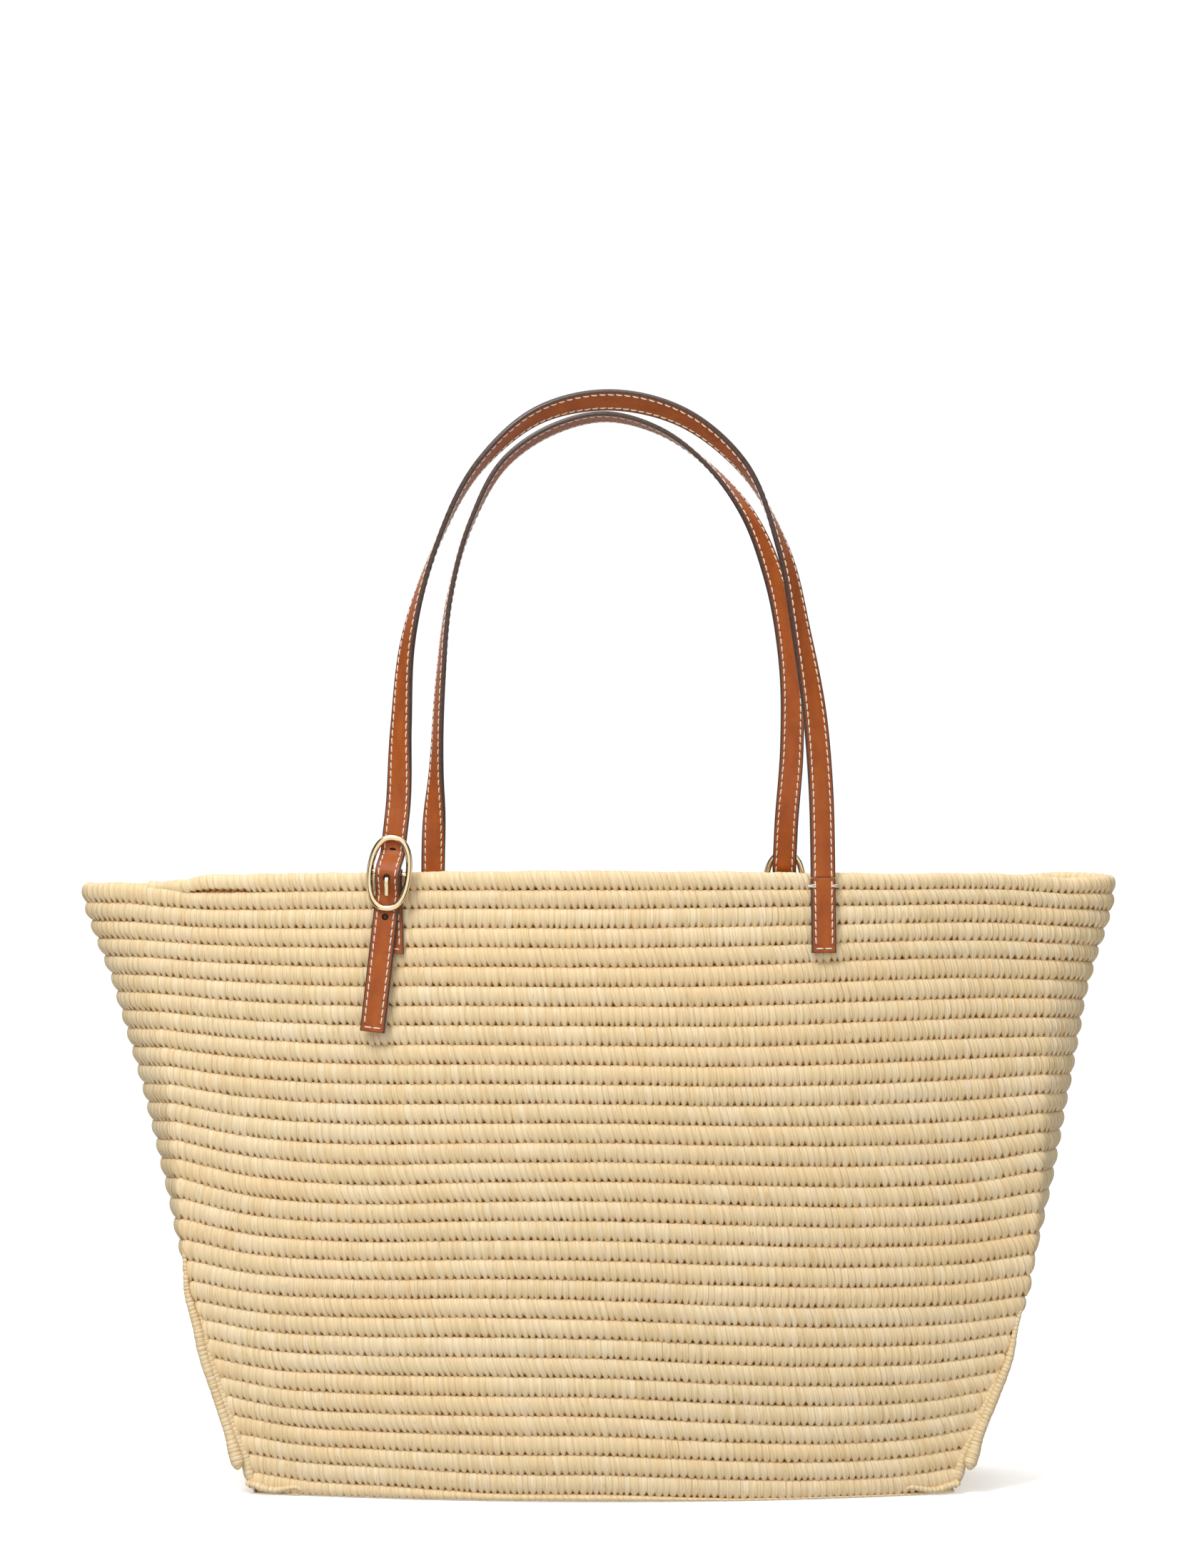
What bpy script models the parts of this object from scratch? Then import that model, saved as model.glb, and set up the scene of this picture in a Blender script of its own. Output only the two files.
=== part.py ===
"""A coiled straw beach bag with two buckled leather shoulder straps.

Metres, +Z up. The origin is on the ground under the middle of the base. The front looks along -Y and
+X is to the right of somebody facing the front. The rear handle is the front one turned half round.
"""

from math import atan2, cos, pi, radians, sin

import bmesh
import bpy
from mathutils import Matrix, Vector

# Basket
BODY_HEIGHT = 0.350
RIM_HALF_WIDTH = 0.2975
BASE_HALF_WIDTH = 0.1975
RIM_HALF_DEPTH = 0.075
BASE_HALF_DEPTH = 0.080
MIDDLE_SWELL = 0.005
RIM_CORNER_DEPTH = 0.025
BASE_CORNER_DEPTH = 0.051
RIM_END_ROUND = 0.025
BASE_END_HOLLOW = -0.008
WALL = 0.009
BASE_THICKNESS = 0.009
COIL_ROUNDS = 32
RIM_START_DROP = 0.0075
RIM_FALL = 0.0042
RIM_CROWN = 0.001
COIL_END_INSET = 0.0335

# How far the half width has grown from the base's to the rim's, at shares of the height.
WALL_PROFILE = (
    (0.00, 0.00), (0.05, 0.078), (0.12, 0.185), (0.22, 0.321), (0.28, 0.372), (0.35, 0.442), (0.42, 0.513),
    (0.50, 0.579), (0.58, 0.638), (0.65, 0.692), (0.72, 0.750), (0.80, 0.814), (0.85, 0.868), (0.90, 0.933),
    (0.95, 0.990), (1.00, 1.00),
)
# How far the outline's middle stands to the right of the base's, at shares of the height.
SIDE_PROFILE = (
    (0.00, 0.0003), (0.08, 0.0006), (0.17, 0.0018), (0.28, 0.0031), (0.50, 0.0031), (0.65, 0.0018),
    (0.80, -0.0010), (0.95, -0.0026), (1.00, -0.0028),
)

# Piping on the lower corners, and the pinched ears under it
PIPING_RADIUS = 0.0037
PIPING_TIP_RADIUS = 0.0016
PIPING_BULB_RADIUS = 0.0042
PIPING_INSET = 0.004
PIPING_BOTTOM = 0.0165
PIPING_TAPER = 0.030
LONG_PIPING_TOP = 0.118
SHORT_PIPING_TOP = 0.088
EAR_RADIUS = 0.0045
EAR_HEIGHT = 0.010

# Leather
STRAP_WIDTH = 0.014
LAYER = 0.00125
LAYER_GAP = 0.0003
STRAP_THICKNESS = 2 * LAYER + LAYER_GAP
TAB_THICKNESS = 0.0014
TAB_LENGTH = 0.044
TAB_RISE = 0.010
TAB_WRAP_END = 130.0
SEWN_END_LENGTH = 0.041
TAIL_LENGTH = 0.089
WALL_CLEARANCE = 0.0007
CLEARANCE = 0.0003
BAR_CLEARANCE = 0.0005
TACK_RADIUS = 0.0006
TACK_LENGTH = 0.004

# Buckle
RING_HEIGHT = 0.043
RING_BAR_RADIUS = 0.0013
RING_SECTION_RADIUS = 0.0018
RING_SIDE_ROOM = 0.0022
RING_WIDTH = STRAP_WIDTH + 2 * RING_SIDE_ROOM + 4 * RING_SECTION_RADIUS
RING_SQUARENESS = 2.3
PRONG_WIDTH = 0.0026
PRONG_THICKNESS = 0.0018
PRONG_ROOT_WALL = 0.0013
PRONG_LENGTH = 0.0127
PRONG_LIFT = 0.0022
SLOT_CLEARANCE = 0.0006
HOLE_WIDTH = 0.0042
HOLE_TOP = 0.0004
HOLE_BOTTOM = 0.0080

# Where a strap flexes: the gap between its still end and its swinging end, and the length each is bevelled over
FLEX_GAP = 0.0026
FLEX_BEVEL = 0.0030
FLEX_ABOVE_BAR = 0.0265

APEX_HALF_DEPTH = 0.079

# Each handle in the frame of its own side, with heights from the body's top. arch holds (x, height, twist in
# degrees) up the buckle leg, over the top and down the plain leg. No twist turns the strap's outer face to the
# front of that side.
FRONT = {
    "name": "front",
    "turn": 0.0,
    "buckle_x": -0.118,
    "bar_height": -0.001,
    "buckle_lean": 6.0,
    "plain_x": 0.1225,
    "plain_height": -0.0045,
    "arch": (
        (-0.1127, 0.081, 36), (-0.1085, 0.13, 60), (-0.0935, 0.18, 86), (-0.0680, 0.227, 106),
        (-0.0350, 0.2545, 124), (0.0020, 0.2625, 136), (0.0440, 0.253, 130), (0.0760, 0.2275, 112),
        (0.1000, 0.18, 64), (0.1110, 0.13, 42), (0.1185, 0.084, 20), (0.1215, 0.048, 11),
    ),
}
REAR = {
    "name": "rear",
    "turn": 180.0,
    "buckle_x": -0.106,
    "bar_height": -0.012,
    "buckle_lean": -3.0,
    "plain_x": 0.1000,
    "plain_height": -0.0070,
    "arch": (
        (-0.1115, 0.07, -6), (-0.1105, 0.122, -16), (-0.1010, 0.172, -34), (-0.0850, 0.21, -58),
        (-0.0620, 0.238, -82), (-0.0330, 0.2585, -96), (-0.0010, 0.2665, -104), (0.0320, 0.258, -106),
        (0.0570, 0.2405, -104), (0.0780, 0.204, -92), (0.0905, 0.16, -84), (0.0960, 0.11, -72), (0.0985, 0.055, -56),
    ),
}
HANDLES = (FRONT, REAR)

PITCH = BODY_HEIGHT / COIL_ROUNDS
# Half the gap left between the broad walls and the gussets at each corner
BORDER = 0.00025
# Half the length of wall top that steps down under the coil's end, and how much thinner the coil ends
STEP_HALF = 0.006
COIL_END_SIZE = 0.55

# How finely the shapes are drawn
FRONT_COLUMNS = 26
END_COLUMNS = 6
WALL_ROWS = 11
STRAP_SPACING = 0.008
PRONG_SPACING = 0.001

STRAW = ("straw", (0.78, 0.62, 0.40), 0.75, 0.0)
STRAW_DARK = ("straw binding", (0.70, 0.54, 0.33), 0.75, 0.0)
TAN = ("tan leather", (0.42, 0.16, 0.055), 0.45, 0.0)
THREAD = ("cream thread", (0.86, 0.78, 0.66), 0.8, 0.0)
GOLD = ("gold plated brass", (0.88, 0.66, 0.34), 0.18, 1.0)


def clear_scene():
    for obj in list(bpy.data.objects):
        bpy.data.objects.remove(obj, do_unlink=True)


def material(finish):
    name, colour, roughness, metallic = finish
    made = bpy.data.materials.get(name)
    if made is None:
        made = bpy.data.materials.new(name)
        made.use_nodes = True
        shader = made.node_tree.nodes["Principled BSDF"]
        shader.inputs["Base Color"].default_value = (*colour, 1.0)
        shader.inputs["Roughness"].default_value = roughness
        shader.inputs["Metallic"].default_value = metallic
    return made


def add_object(name, vertices, faces, finish, smooth_angle=35.0):
    mesh = bpy.data.meshes.new(name)
    mesh.from_pydata([tuple(point) for point in vertices], [], faces)
    shape = bmesh.new()
    shape.from_mesh(mesh)
    bmesh.ops.recalc_face_normals(shape, faces=shape.faces)
    shape.to_mesh(mesh)
    shape.free()
    mesh.shade_smooth()
    mesh.set_sharp_from_angle(angle=radians(smooth_angle))
    mesh.materials.append(material(finish))
    obj = bpy.data.objects.new(name, mesh)
    bpy.context.scene.collection.objects.link(obj)
    return obj


def strip_cap(count, first):
    """Faces across the end of a long thin ring whose second half runs back along its first."""
    half = count // 2
    return [
        (first + row, first + row + 1, first + count - 2 - row, first + count - 1 - row)
        for row in range(half - 1)
    ]


def loft(name, rings, finish, closed=False, thin=False):
    """One closed solid through rings of points that match one to one, with its ends closed unless it meets itself."""
    count = len(rings[0])
    vertices = [point for ring in rings for point in ring]
    faces = []
    spans = len(rings) if closed else len(rings) - 1
    for row in range(spans):
        low = row * count
        high = (row + 1) % len(rings) * count
        for column in range(count):
            after = (column + 1) % count
            faces.append((low + column, low + after, high + after))
            faces.append((low + column, high + after, high + column))
    last = len(vertices) - count
    if thin:
        faces += strip_cap(count, 0) + strip_cap(count, last)
    elif not closed:
        faces.append(tuple(range(count)))
        faces.append(tuple(reversed(range(last, last + count))))
    return add_object(name, vertices, faces, finish)


def set_origin(obj, pivot):
    """Moves the object's origin to a pivot and leaves its shape where it is."""
    obj.data.transform(Matrix.Translation(-pivot))
    obj.location = pivot


def smoothstep(low, high, value):
    share = min(1.0, max(0.0, (value - low) / (high - low)))
    return share * share * (3 - 2 * share)


def blend(low, high, share):
    return low + (high - low) * share


def read_profile(profile, share):
    """A profile read by straight lines at a share of the height."""
    for (low, low_value), (high, high_value) in zip(profile, profile[1:]):
        if share <= high:
            return blend(low_value, high_value, (share - low) / (high - low))
    return profile[-1][1]


def side_shift(z):
    return read_profile(SIDE_PROFILE, min(1.0, max(0.0, z / BODY_HEIGHT)))


def section(z):
    """The wall's outer outline at a height: corner x, corner depth, middle depth and the ends' bulge."""
    share = min(1.0, max(0.0, z / BODY_HEIGHT))
    half_width = blend(BASE_HALF_WIDTH, RIM_HALF_WIDTH, read_profile(WALL_PROFILE, share))
    bulge = blend(BASE_END_HOLLOW, RIM_END_ROUND, smoothstep(0, 1, share))
    inset = PIPING_INSET * (1 - smoothstep(SHORT_PIPING_TOP, LONG_PIPING_TOP, z))
    corner_x = half_width - max(bulge, 0) - inset
    corner_y = blend(BASE_CORNER_DEPTH, RIM_CORNER_DEPTH, share)
    middle_y = blend(BASE_HALF_DEPTH, RIM_HALF_DEPTH, share) + MIDDLE_SWELL * 4 * share * (1 - share)
    return corner_x, corner_y, middle_y, bulge


def face_point(along, z, depth=0.0, border=0.0):
    """A point of the front wall, along from -1 at its left corner to 1, depth inside its outer face."""
    corner_x, corner_y, middle_y, _ = section(z)
    x = along * (corner_x - depth - border)
    y = -(corner_y - depth + (middle_y - corner_y) * (1 - along * along))
    return Vector((x, y, z))


def end_point(along, z, depth=0.0, border=0.0):
    """A point of the right end wall, along from -1 at its front corner to 1."""
    corner_x, corner_y, _, bulge = section(z)
    x = corner_x - depth + bulge * (1 - along * along)
    return Vector((x, along * (corner_y - depth - border), z))


def turned(point):
    return Vector((-point.x, -point.y, point.z))


def seam_place():
    """The coil's end as a place along the front, a little in from its left corner."""
    return COIL_END_INSET / section(BODY_HEIGHT)[0] - 1


def outline_stops():
    """Places round the wall as (wall, along), from the coil's end over the left end, the back and the right end."""
    seam = seam_place()
    stops = []
    for wall, start, stop, columns in (
        ("front", seam, -1.0, 3),
        ("left", 1.0, -1.0, END_COLUMNS),
        ("rear", 1.0, -1.0, FRONT_COLUMNS),
        ("right", 1.0, -1.0, END_COLUMNS),
        ("front", 1.0, seam, FRONT_COLUMNS),
    ):
        for column in range(columns + (wall == "front" and start == 1.0)):
            stops.append((wall, blend(start, stop, column / columns)))
    return stops


def wall_point(wall, along, z, depth=0.0, border=0.0):
    point = (face_point if wall in ("front", "rear") else end_point)(along, z, depth, border)
    if wall in ("rear", "left"):
        point = turned(point)
    return point + Vector((side_shift(z), 0, 0))


def turn_share(wall, along):
    """How much of the last round of coil has been laid, from 0 beside the coil's end to 1 back at it."""
    corner_x, corner_y, _, _ = section(BODY_HEIGHT)
    face = 2 * corner_x
    end = 2 * corner_y + RIM_END_ROUND
    whole = 2 * (face + end)
    if wall == "left":
        return (COIL_END_INSET + end * (1 - along) / 2) / whole
    if wall == "rear":
        return (COIL_END_INSET + end + face * (1 - along) / 2) / whole
    if wall == "right":
        return (COIL_END_INSET + end + face + end * (1 - along) / 2) / whole
    past = (seam_place() - along) * corner_x
    return past / whole + 1 - smoothstep(-STEP_HALF, STEP_HALF, past)


def rim_top(wall, along):
    """Height of the rim: it climbs one pitch round the basket, and falls towards the far end of each broad wall."""
    climb = BODY_HEIGHT - RIM_START_DROP + PITCH * turn_share(wall, along)
    if wall in ("front", "rear"):
        return climb - RIM_FALL * (1 + along) / 2 + RIM_CROWN * (1 - along * along)
    return climb - RIM_FALL * (1 - along) / 2


def wall_ring(wall, along):
    """The closed outline of one upright slice through a wall: up its outer face and down its inner face."""
    top = rim_top(wall, along) - PITCH - CLEARANCE
    heights = [0.0]
    for row in range(WALL_ROWS + 1):
        heights.append(blend(BASE_THICKNESS, top, (row / WALL_ROWS)))
    outer = [wall_point(wall, along, z, 0.0, BORDER) for z in heights]
    inner = [wall_point(wall, along, z, WALL, BORDER) for z in reversed(heights)]
    return outer + inner


def columns_of(wall):
    if wall in ("left", "right"):
        return [blend(-1, 1, column / END_COLUMNS) for column in range(END_COLUMNS + 1)]
    places = {blend(-1, 1, column / FRONT_COLUMNS) for column in range(FRONT_COLUMNS + 1)}
    if wall == "front":
        seam = seam_place()
        half = STEP_HALF / section(BODY_HEIGHT)[0]
        places |= {seam - half, seam, seam + half}
    return sorted(places)


def build_walls():
    for wall, name in (
        ("front", "basket_front_wall"),
        ("rear", "basket_rear_wall"),
        ("left", "basket_left_gusset"),
        ("right", "basket_right_gusset"),
    ):
        loft(name, [wall_ring(wall, along) for along in columns_of(wall)], STRAW, thin=True)


def build_base():
    rings = []
    for z in (0.0, BASE_THICKNESS):
        ring = []
        for wall in ("front", "right", "rear", "left"):
            for along in columns_of(wall)[:-1]:
                ring.append(wall_point(wall, along, z, WALL + CLEARANCE))
        rings.append(ring)
    loft("basket_base", rings, STRAW)


def build_rim():
    """The last round of coil, on top of the walls, climbing one pitch from its start to its end."""
    stops = outline_stops()
    seam = stops[0][1]
    half = (STEP_HALF + CLEARANCE) / section(BODY_HEIGHT)[0]
    stops[0] = ("front", seam - half)
    stops[-1] = ("front", seam + half)
    tops = [rim_top(wall, along) for wall, along in stops]
    middles = []
    for (wall, along), top in zip(stops, tops):
        middles.append(wall_point(wall, along, top - PITCH / 2, WALL / 2))
    rings = []
    sides = 10
    for index, middle in enumerate(middles):
        before = middles[max(0, index - 1)]
        after = middles[min(len(middles) - 1, index + 1)]
        ahead = (after - before).to_2d().normalized()
        across = Vector((-ahead.y, ahead.x, 0))
        from_end = (len(middles) - 1 - index) / 4
        size = min(1.0, blend(COIL_END_SIZE, 1.0, from_end))
        ring = []
        for side in range(sides):
            angle = 2 * pi * (side + 0.5) / sides
            wide = across * cos(angle) * WALL / 2 * size
            tall = Vector((0, 0, sin(angle) * (PITCH - CLEARANCE) / 2 * size))
            low = Vector((0, 0, (1 - size) * (PITCH - CLEARANCE) / 2))
            ring.append(middle + wide + tall - low)
        rings.append(ring)
    loft("rim_coil", rings, STRAW)


def corner_line(side_x, side_y, z, distance):
    """A point out along the diagonal from one of the basket's four corners."""
    corner_x, corner_y, _, _ = section(z)
    x = side_x * (corner_x + distance / 2**0.5) + side_shift(z)
    return Vector((x, side_y * (corner_y + distance / 2**0.5), z))


def upright_cord(name, side_x, side_y, levels, finish):
    """An upright tapered cord just off a corner, through (height, radius) levels."""
    rings = []
    sides = 10
    for z, radius in levels:
        middle = corner_line(side_x, side_y, z, radius + CLEARANCE * 1.5)
        ring = []
        for side in range(sides):
            angle = 2 * pi * side / sides
            ring.append(middle + Vector((cos(angle) * radius, sin(angle) * radius, 0)))
        rings.append(ring)
    loft(name, rings, finish)


def build_corners():
    for side_x, side_y, name in (
        (-1, -1, "front_left"),
        (1, -1, "front_right"),
        (1, 1, "rear_right"),
        (-1, 1, "rear_left"),
    ):
        top = LONG_PIPING_TOP if side_x == side_y else SHORT_PIPING_TOP
        levels = [
            (PIPING_BOTTOM - PIPING_BULB_RADIUS, PIPING_TIP_RADIUS),
            (PIPING_BOTTOM - PIPING_BULB_RADIUS / 2, PIPING_RADIUS),
            (PIPING_BOTTOM, PIPING_BULB_RADIUS),
            (PIPING_BOTTOM + PIPING_BULB_RADIUS, PIPING_BULB_RADIUS),
            (PIPING_BOTTOM + 3 * PIPING_BULB_RADIUS, PIPING_RADIUS),
        ]
        steps = 6
        start = levels[-1][0]
        for step in range(1, steps + 1):
            z = blend(start, top - PIPING_TAPER, step / steps)
            levels.append((z, PIPING_RADIUS))
        levels.append((top - PIPING_TAPER / 2, blend(PIPING_RADIUS, PIPING_TIP_RADIUS, 0.4)))
        levels.append((top, PIPING_TIP_RADIUS))
        upright_cord(f"piping_{name}", side_x, side_y, levels, STRAW_DARK)
        ear = [
            (0.0, EAR_RADIUS * 0.6),
            (EAR_HEIGHT * 0.25, EAR_RADIUS * 0.9),
            (EAR_HEIGHT * 0.55, EAR_RADIUS),
            (EAR_HEIGHT * 0.85, EAR_RADIUS * 0.8),
            (EAR_HEIGHT, EAR_RADIUS * 0.45),
        ]
        upright_cord(f"corner_ear_{name}", side_x, side_y, ear, STRAW)


def foot_frame(handle, x, height, lean):
    """A frame on the outer face of the handle's wall: x across, y up the wall and z straight out of it."""
    z = BODY_HEIGHT + height
    shift = Vector((side_shift(z) * cos(radians(handle["turn"])), 0, 0))
    along = (x - shift.x) / section(z)[0]
    step = 0.02
    across = face_point(along + step, z) - face_point(along - step, z)
    across.z = 0
    rise = face_point(along, z) - face_point(along, z - TAIL_LENGTH)
    rise.x = 0
    outward = across.cross(rise).normalized()
    across = (Matrix.Rotation(radians(lean), 3, outward) @ across).normalized()
    up = outward.cross(across)
    place = Matrix((across, up, outward)).transposed().to_4x4()
    place.translation = face_point(along, z) + shift
    return place


def side_matrix(handle):
    return Matrix.Rotation(radians(handle["turn"]), 4, "Z")


def spline(points, spacing):
    """A smooth curve through points whose first parts are places, sampled about every spacing."""
    places = [Vector(point[: min(3, len(point))]) for point in points]
    lengths = [(after - before).length for before, after in zip(places, places[1:])]
    slopes = [(after - before) / length for before, after, length in zip(points, points[1:], lengths)]
    tangents = [slopes[0]]
    for index in range(1, len(points) - 1):
        before, after = lengths[index - 1], lengths[index]
        tangents.append((slopes[index - 1] * after + slopes[index] * before) / (before + after))
    tangents.append(slopes[-1])
    samples = []
    for index, length in enumerate(lengths):
        steps = max(1, round(length / spacing))
        for step in range(steps):
            t = step / steps
            samples.append(
                points[index] * (2 * t**3 - 3 * t**2 + 1)
                + tangents[index] * length * (t**3 - 2 * t**2 + t)
                + points[index + 1] * (3 * t**2 - 2 * t**3)
                + tangents[index + 1] * length * (t**3 - t**2)
            )
    samples.append(points[-1].copy())
    return samples


def ribbon_rings(centres, across_axes, normals, width, near, far, start_bevel=0.0, end_bevel=0.0):
    """Rectangles along a strap, from near to far off its middle surface. A bevelled end is cut back away from it."""
    rings = []
    last = len(centres) - 1
    for index, centre in enumerate(centres):
        side = across_axes[index] * width / 2
        ahead = (centres[min(last, index + 1)] - centres[max(0, index - 1)]).normalized()
        ring = []
        for sign, level in ((-1, near), (1, near), (1, far), (-1, far)):
            back = abs(level) / (STRAP_THICKNESS / 2)
            shift = back * start_bevel if index == 0 else -back * end_bevel if index == last else 0.0
            ring.append(centre + side * sign + normals[index] * level + ahead * shift)
        rings.append(ring)
    return rings


def flat_ribbon(name, place, path, width, thickness, finish, start_bevel=0.0, end_bevel=0.0):
    """A strap whose width lies across a foot frame, along (up, out) points of its middle surface."""
    centres = [place @ Vector((0, up, out)) for up, out in path]
    across = place.to_3x3() @ Vector((1, 0, 0))
    normals = []
    for index in range(len(centres)):
        ahead = centres[min(len(centres) - 1, index + 1)] - centres[max(0, index - 1)]
        normals.append(across.cross(ahead).normalized())
    axes = [across] * len(centres)
    rings = ribbon_rings(centres, axes, normals, width, -thickness / 2, thickness / 2, start_bevel, end_bevel)
    return loft(name, rings, finish)


def cutter(name, place, low, high):
    """A box in a foot frame that only cuts."""
    corners = [(low[0], low[1]), (high[0], low[1]), (high[0], high[1]), (low[0], high[1])]
    rings = [[place @ Vector((x, y, z)) for x, y in corners] for z in (low[2], high[2])]
    made = loft(name, rings, STRAW)
    made.hide_render = True
    made.display_type = "WIRE"
    return made


def cut(obj, tool, operation="DIFFERENCE"):
    modifier = obj.modifiers.new(operation.title(), "BOOLEAN")
    modifier.operation = operation
    modifier.object = tool
    modifier.solver = "EXACT"


# Distances out of the wall's face at the buckle, each from what lies under it
TAB_MIDDLE = WALL_CLEARANCE + TAB_THICKNESS / 2
TAIL_MIDDLE = WALL_CLEARANCE + TAB_THICKNESS + CLEARANCE + STRAP_THICKNESS / 2
RING_MIDDLE = TAIL_MIDDLE + STRAP_THICKNESS / 2 + CLEARANCE + RING_SECTION_RADIUS
LOOP_RADIUS = RING_BAR_RADIUS + BAR_CLEARANCE + TAB_THICKNESS / 2
OVER_BAR = RING_MIDDLE + LOOP_RADIUS + TAB_THICKNESS / 2 + BAR_CLEARANCE + STRAP_THICKNESS / 2
RING_INNER_HALF = RING_HEIGHT / 2 - 2 * RING_SECTION_RADIUS
# The strap is back against the wall where the ring starts to close over its edges.
STRAP_REACH = RING_INNER_HALF * 0.72


def buckle_strap_out(up):
    """How far the strap's middle stands off the wall where it goes behind, over and behind the buckle."""
    share = min(1.0, abs(up) / STRAP_REACH)
    return blend(TAIL_MIDDLE, OVER_BAR, (0.5 + 0.5 * cos(pi * share)))


def build_tab(handle, place):
    """The short tab that is sewn to the wall, and whose top wraps round the buckle's bar."""
    path = [(-TAB_LENGTH, TAB_MIDDLE), (-TAB_LENGTH / 2, TAB_MIDDLE), (-TAB_RISE * 1.4, TAB_MIDDLE), (-TAB_RISE, TAB_MIDDLE)]
    path.append((-TAB_RISE * 0.55, blend(TAB_MIDDLE, RING_MIDDLE - LOOP_RADIUS, 0.45)))
    path.append((-TAB_RISE * 0.24, blend(TAB_MIDDLE, RING_MIDDLE - LOOP_RADIUS, 0.86)))
    for step in range(9):
        angle = radians(blend(-90, TAB_WRAP_END, step / 8))
        path.append((LOOP_RADIUS * cos(angle), RING_MIDDLE + LOOP_RADIUS * sin(angle)))
    tab = flat_ribbon(f"{handle['name']}_buckle_tab", place, path, STRAP_WIDTH, TAB_THICKNESS, TAN)
    half = PRONG_WIDTH / 2 + SLOT_CLEARANCE
    top = RING_MIDDLE + LOOP_RADIUS * 3
    slot = cutter(f"{handle['name']}_tab_slot", place, (-half, -TAB_RISE * 0.45, 0), (half, LOOP_RADIUS * 3, top))
    cut(tab, slot)
    return tab


def build_tail(handle, place):
    """The strap through the buckle, from its free tip to the flex above the ring."""
    path = [(-TAIL_LENGTH, TAIL_MIDDLE), (-TAIL_LENGTH * 0.7, TAIL_MIDDLE), (-TAIL_LENGTH * 0.4, TAIL_MIDDLE)]
    steps = 16
    for step in range(steps + 1):
        up = blend(-STRAP_REACH, STRAP_REACH, step / steps)
        path.append((up, buckle_strap_out(up)))
    flex = FLEX_ABOVE_BAR - FLEX_GAP / 2
    path.append((flex - FLEX_BEVEL * 1.2, TAIL_MIDDLE))
    path.append((flex, TAIL_MIDDLE))
    name = f"{handle['name']}_strap_tail"
    tail = flat_ribbon(name, place, path, STRAP_WIDTH, STRAP_THICKNESS, TAN, 0.0, FLEX_BEVEL)
    low = (-HOLE_WIDTH / 2, -HOLE_BOTTOM, RING_MIDDLE)
    high = (HOLE_WIDTH / 2, HOLE_TOP, OVER_BAR + STRAP_THICKNESS)
    cut(tail, cutter(f"{handle['name']}_tail_hole", place, low, high))
    return tail


def build_ring(handle, place):
    """The oval ring, with the bar across its middle in one casting."""
    half_height = RING_HEIGHT / 2 - RING_SECTION_RADIUS
    half_width = RING_WIDTH / 2 - RING_SECTION_RADIUS
    steps = 40
    power = 2 / RING_SQUARENESS
    outline = []
    for step in range(steps):
        angle = 2 * pi * (step + 0.5) / steps
        x = abs(cos(angle)) ** power * half_width * (1 if cos(angle) > 0 else -1)
        y = abs(sin(angle)) ** power * half_height * (1 if sin(angle) > 0 else -1)
        outline.append(Vector((x, y, RING_MIDDLE)))
    rings = []
    sides = 8
    for index, centre in enumerate(outline):
        ahead = (outline[(index + 1) % steps] - outline[index - 1]).normalized()
        outward = Vector((ahead.y, -ahead.x, 0))
        ring = []
        for side in range(sides):
            angle = 2 * pi * (side + 0.5) / sides
            offset = outward * cos(angle) + Vector((0, 0, sin(angle)))
            ring.append(place @ (centre + offset * RING_SECTION_RADIUS))
        rings.append(ring)
    ring = loft(f"{handle['name']}_buckle_ring", rings, GOLD, closed=True)
    bar_rings = []
    for x in (-half_width, half_width):
        circle = []
        for side in range(12):
            angle = 2 * pi * side / 12
            circle.append(place @ Vector((x, RING_BAR_RADIUS * cos(angle), RING_MIDDLE + RING_BAR_RADIUS * sin(angle))))
        bar_rings.append(circle)
    bar = loft(f"{handle['name']}_bar_blank", bar_rings, GOLD)
    bar.hide_render = True
    bar.display_type = "WIRE"
    cut(ring, bar, "UNION")
    return ring


def build_prong(handle, place):
    """The prong: an eye round the bar, and a tongue out through the strap's hole and down its face."""
    inner = RING_BAR_RADIUS + CLEARANCE
    outer = inner + PRONG_ROOT_WALL
    steps = 16
    rings = []
    for step in range(steps):
        angle = 2 * pi * step / steps
        ring = []
        for x, radius in ((-1, inner), (1, inner), (1, outer), (-1, outer)):
            up = radius * cos(angle)
            out = RING_MIDDLE + radius * sin(angle)
            ring.append(place @ Vector((x * PRONG_WIDTH / 2, up, out)))
        rings.append(ring)
    eye = loft(f"{handle['name']}_prong", rings, GOLD, closed=True)
    tip_out = TAIL_MIDDLE + STRAP_THICKNESS / 2 + PRONG_THICKNESS / 2 + PRONG_LIFT
    path = [
        (-PRONG_LENGTH * 0.126, RING_MIDDLE + (inner + outer) / 2),
        (-PRONG_LENGTH * 0.22, blend(RING_MIDDLE + outer, OVER_BAR, 0.80)),
        (-PRONG_LENGTH * 0.378, OVER_BAR + PRONG_THICKNESS / 3),
        (-PRONG_LENGTH * 0.63, blend(OVER_BAR, tip_out, 0.35)),
        (-PRONG_LENGTH, tip_out),
    ]
    tongue_path = [Vector((up, out)) for up, out in path]
    samples = [(point.x, point.y) for point in spline(tongue_path, PRONG_SPACING)]
    name = f"{handle['name']}_tongue_blank"
    tongue = flat_ribbon(name, place, samples, PRONG_WIDTH, PRONG_THICKNESS, GOLD)
    tongue.hide_render = True
    tongue.display_type = "WIRE"
    cut(eye, tongue, "UNION")
    return eye


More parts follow.
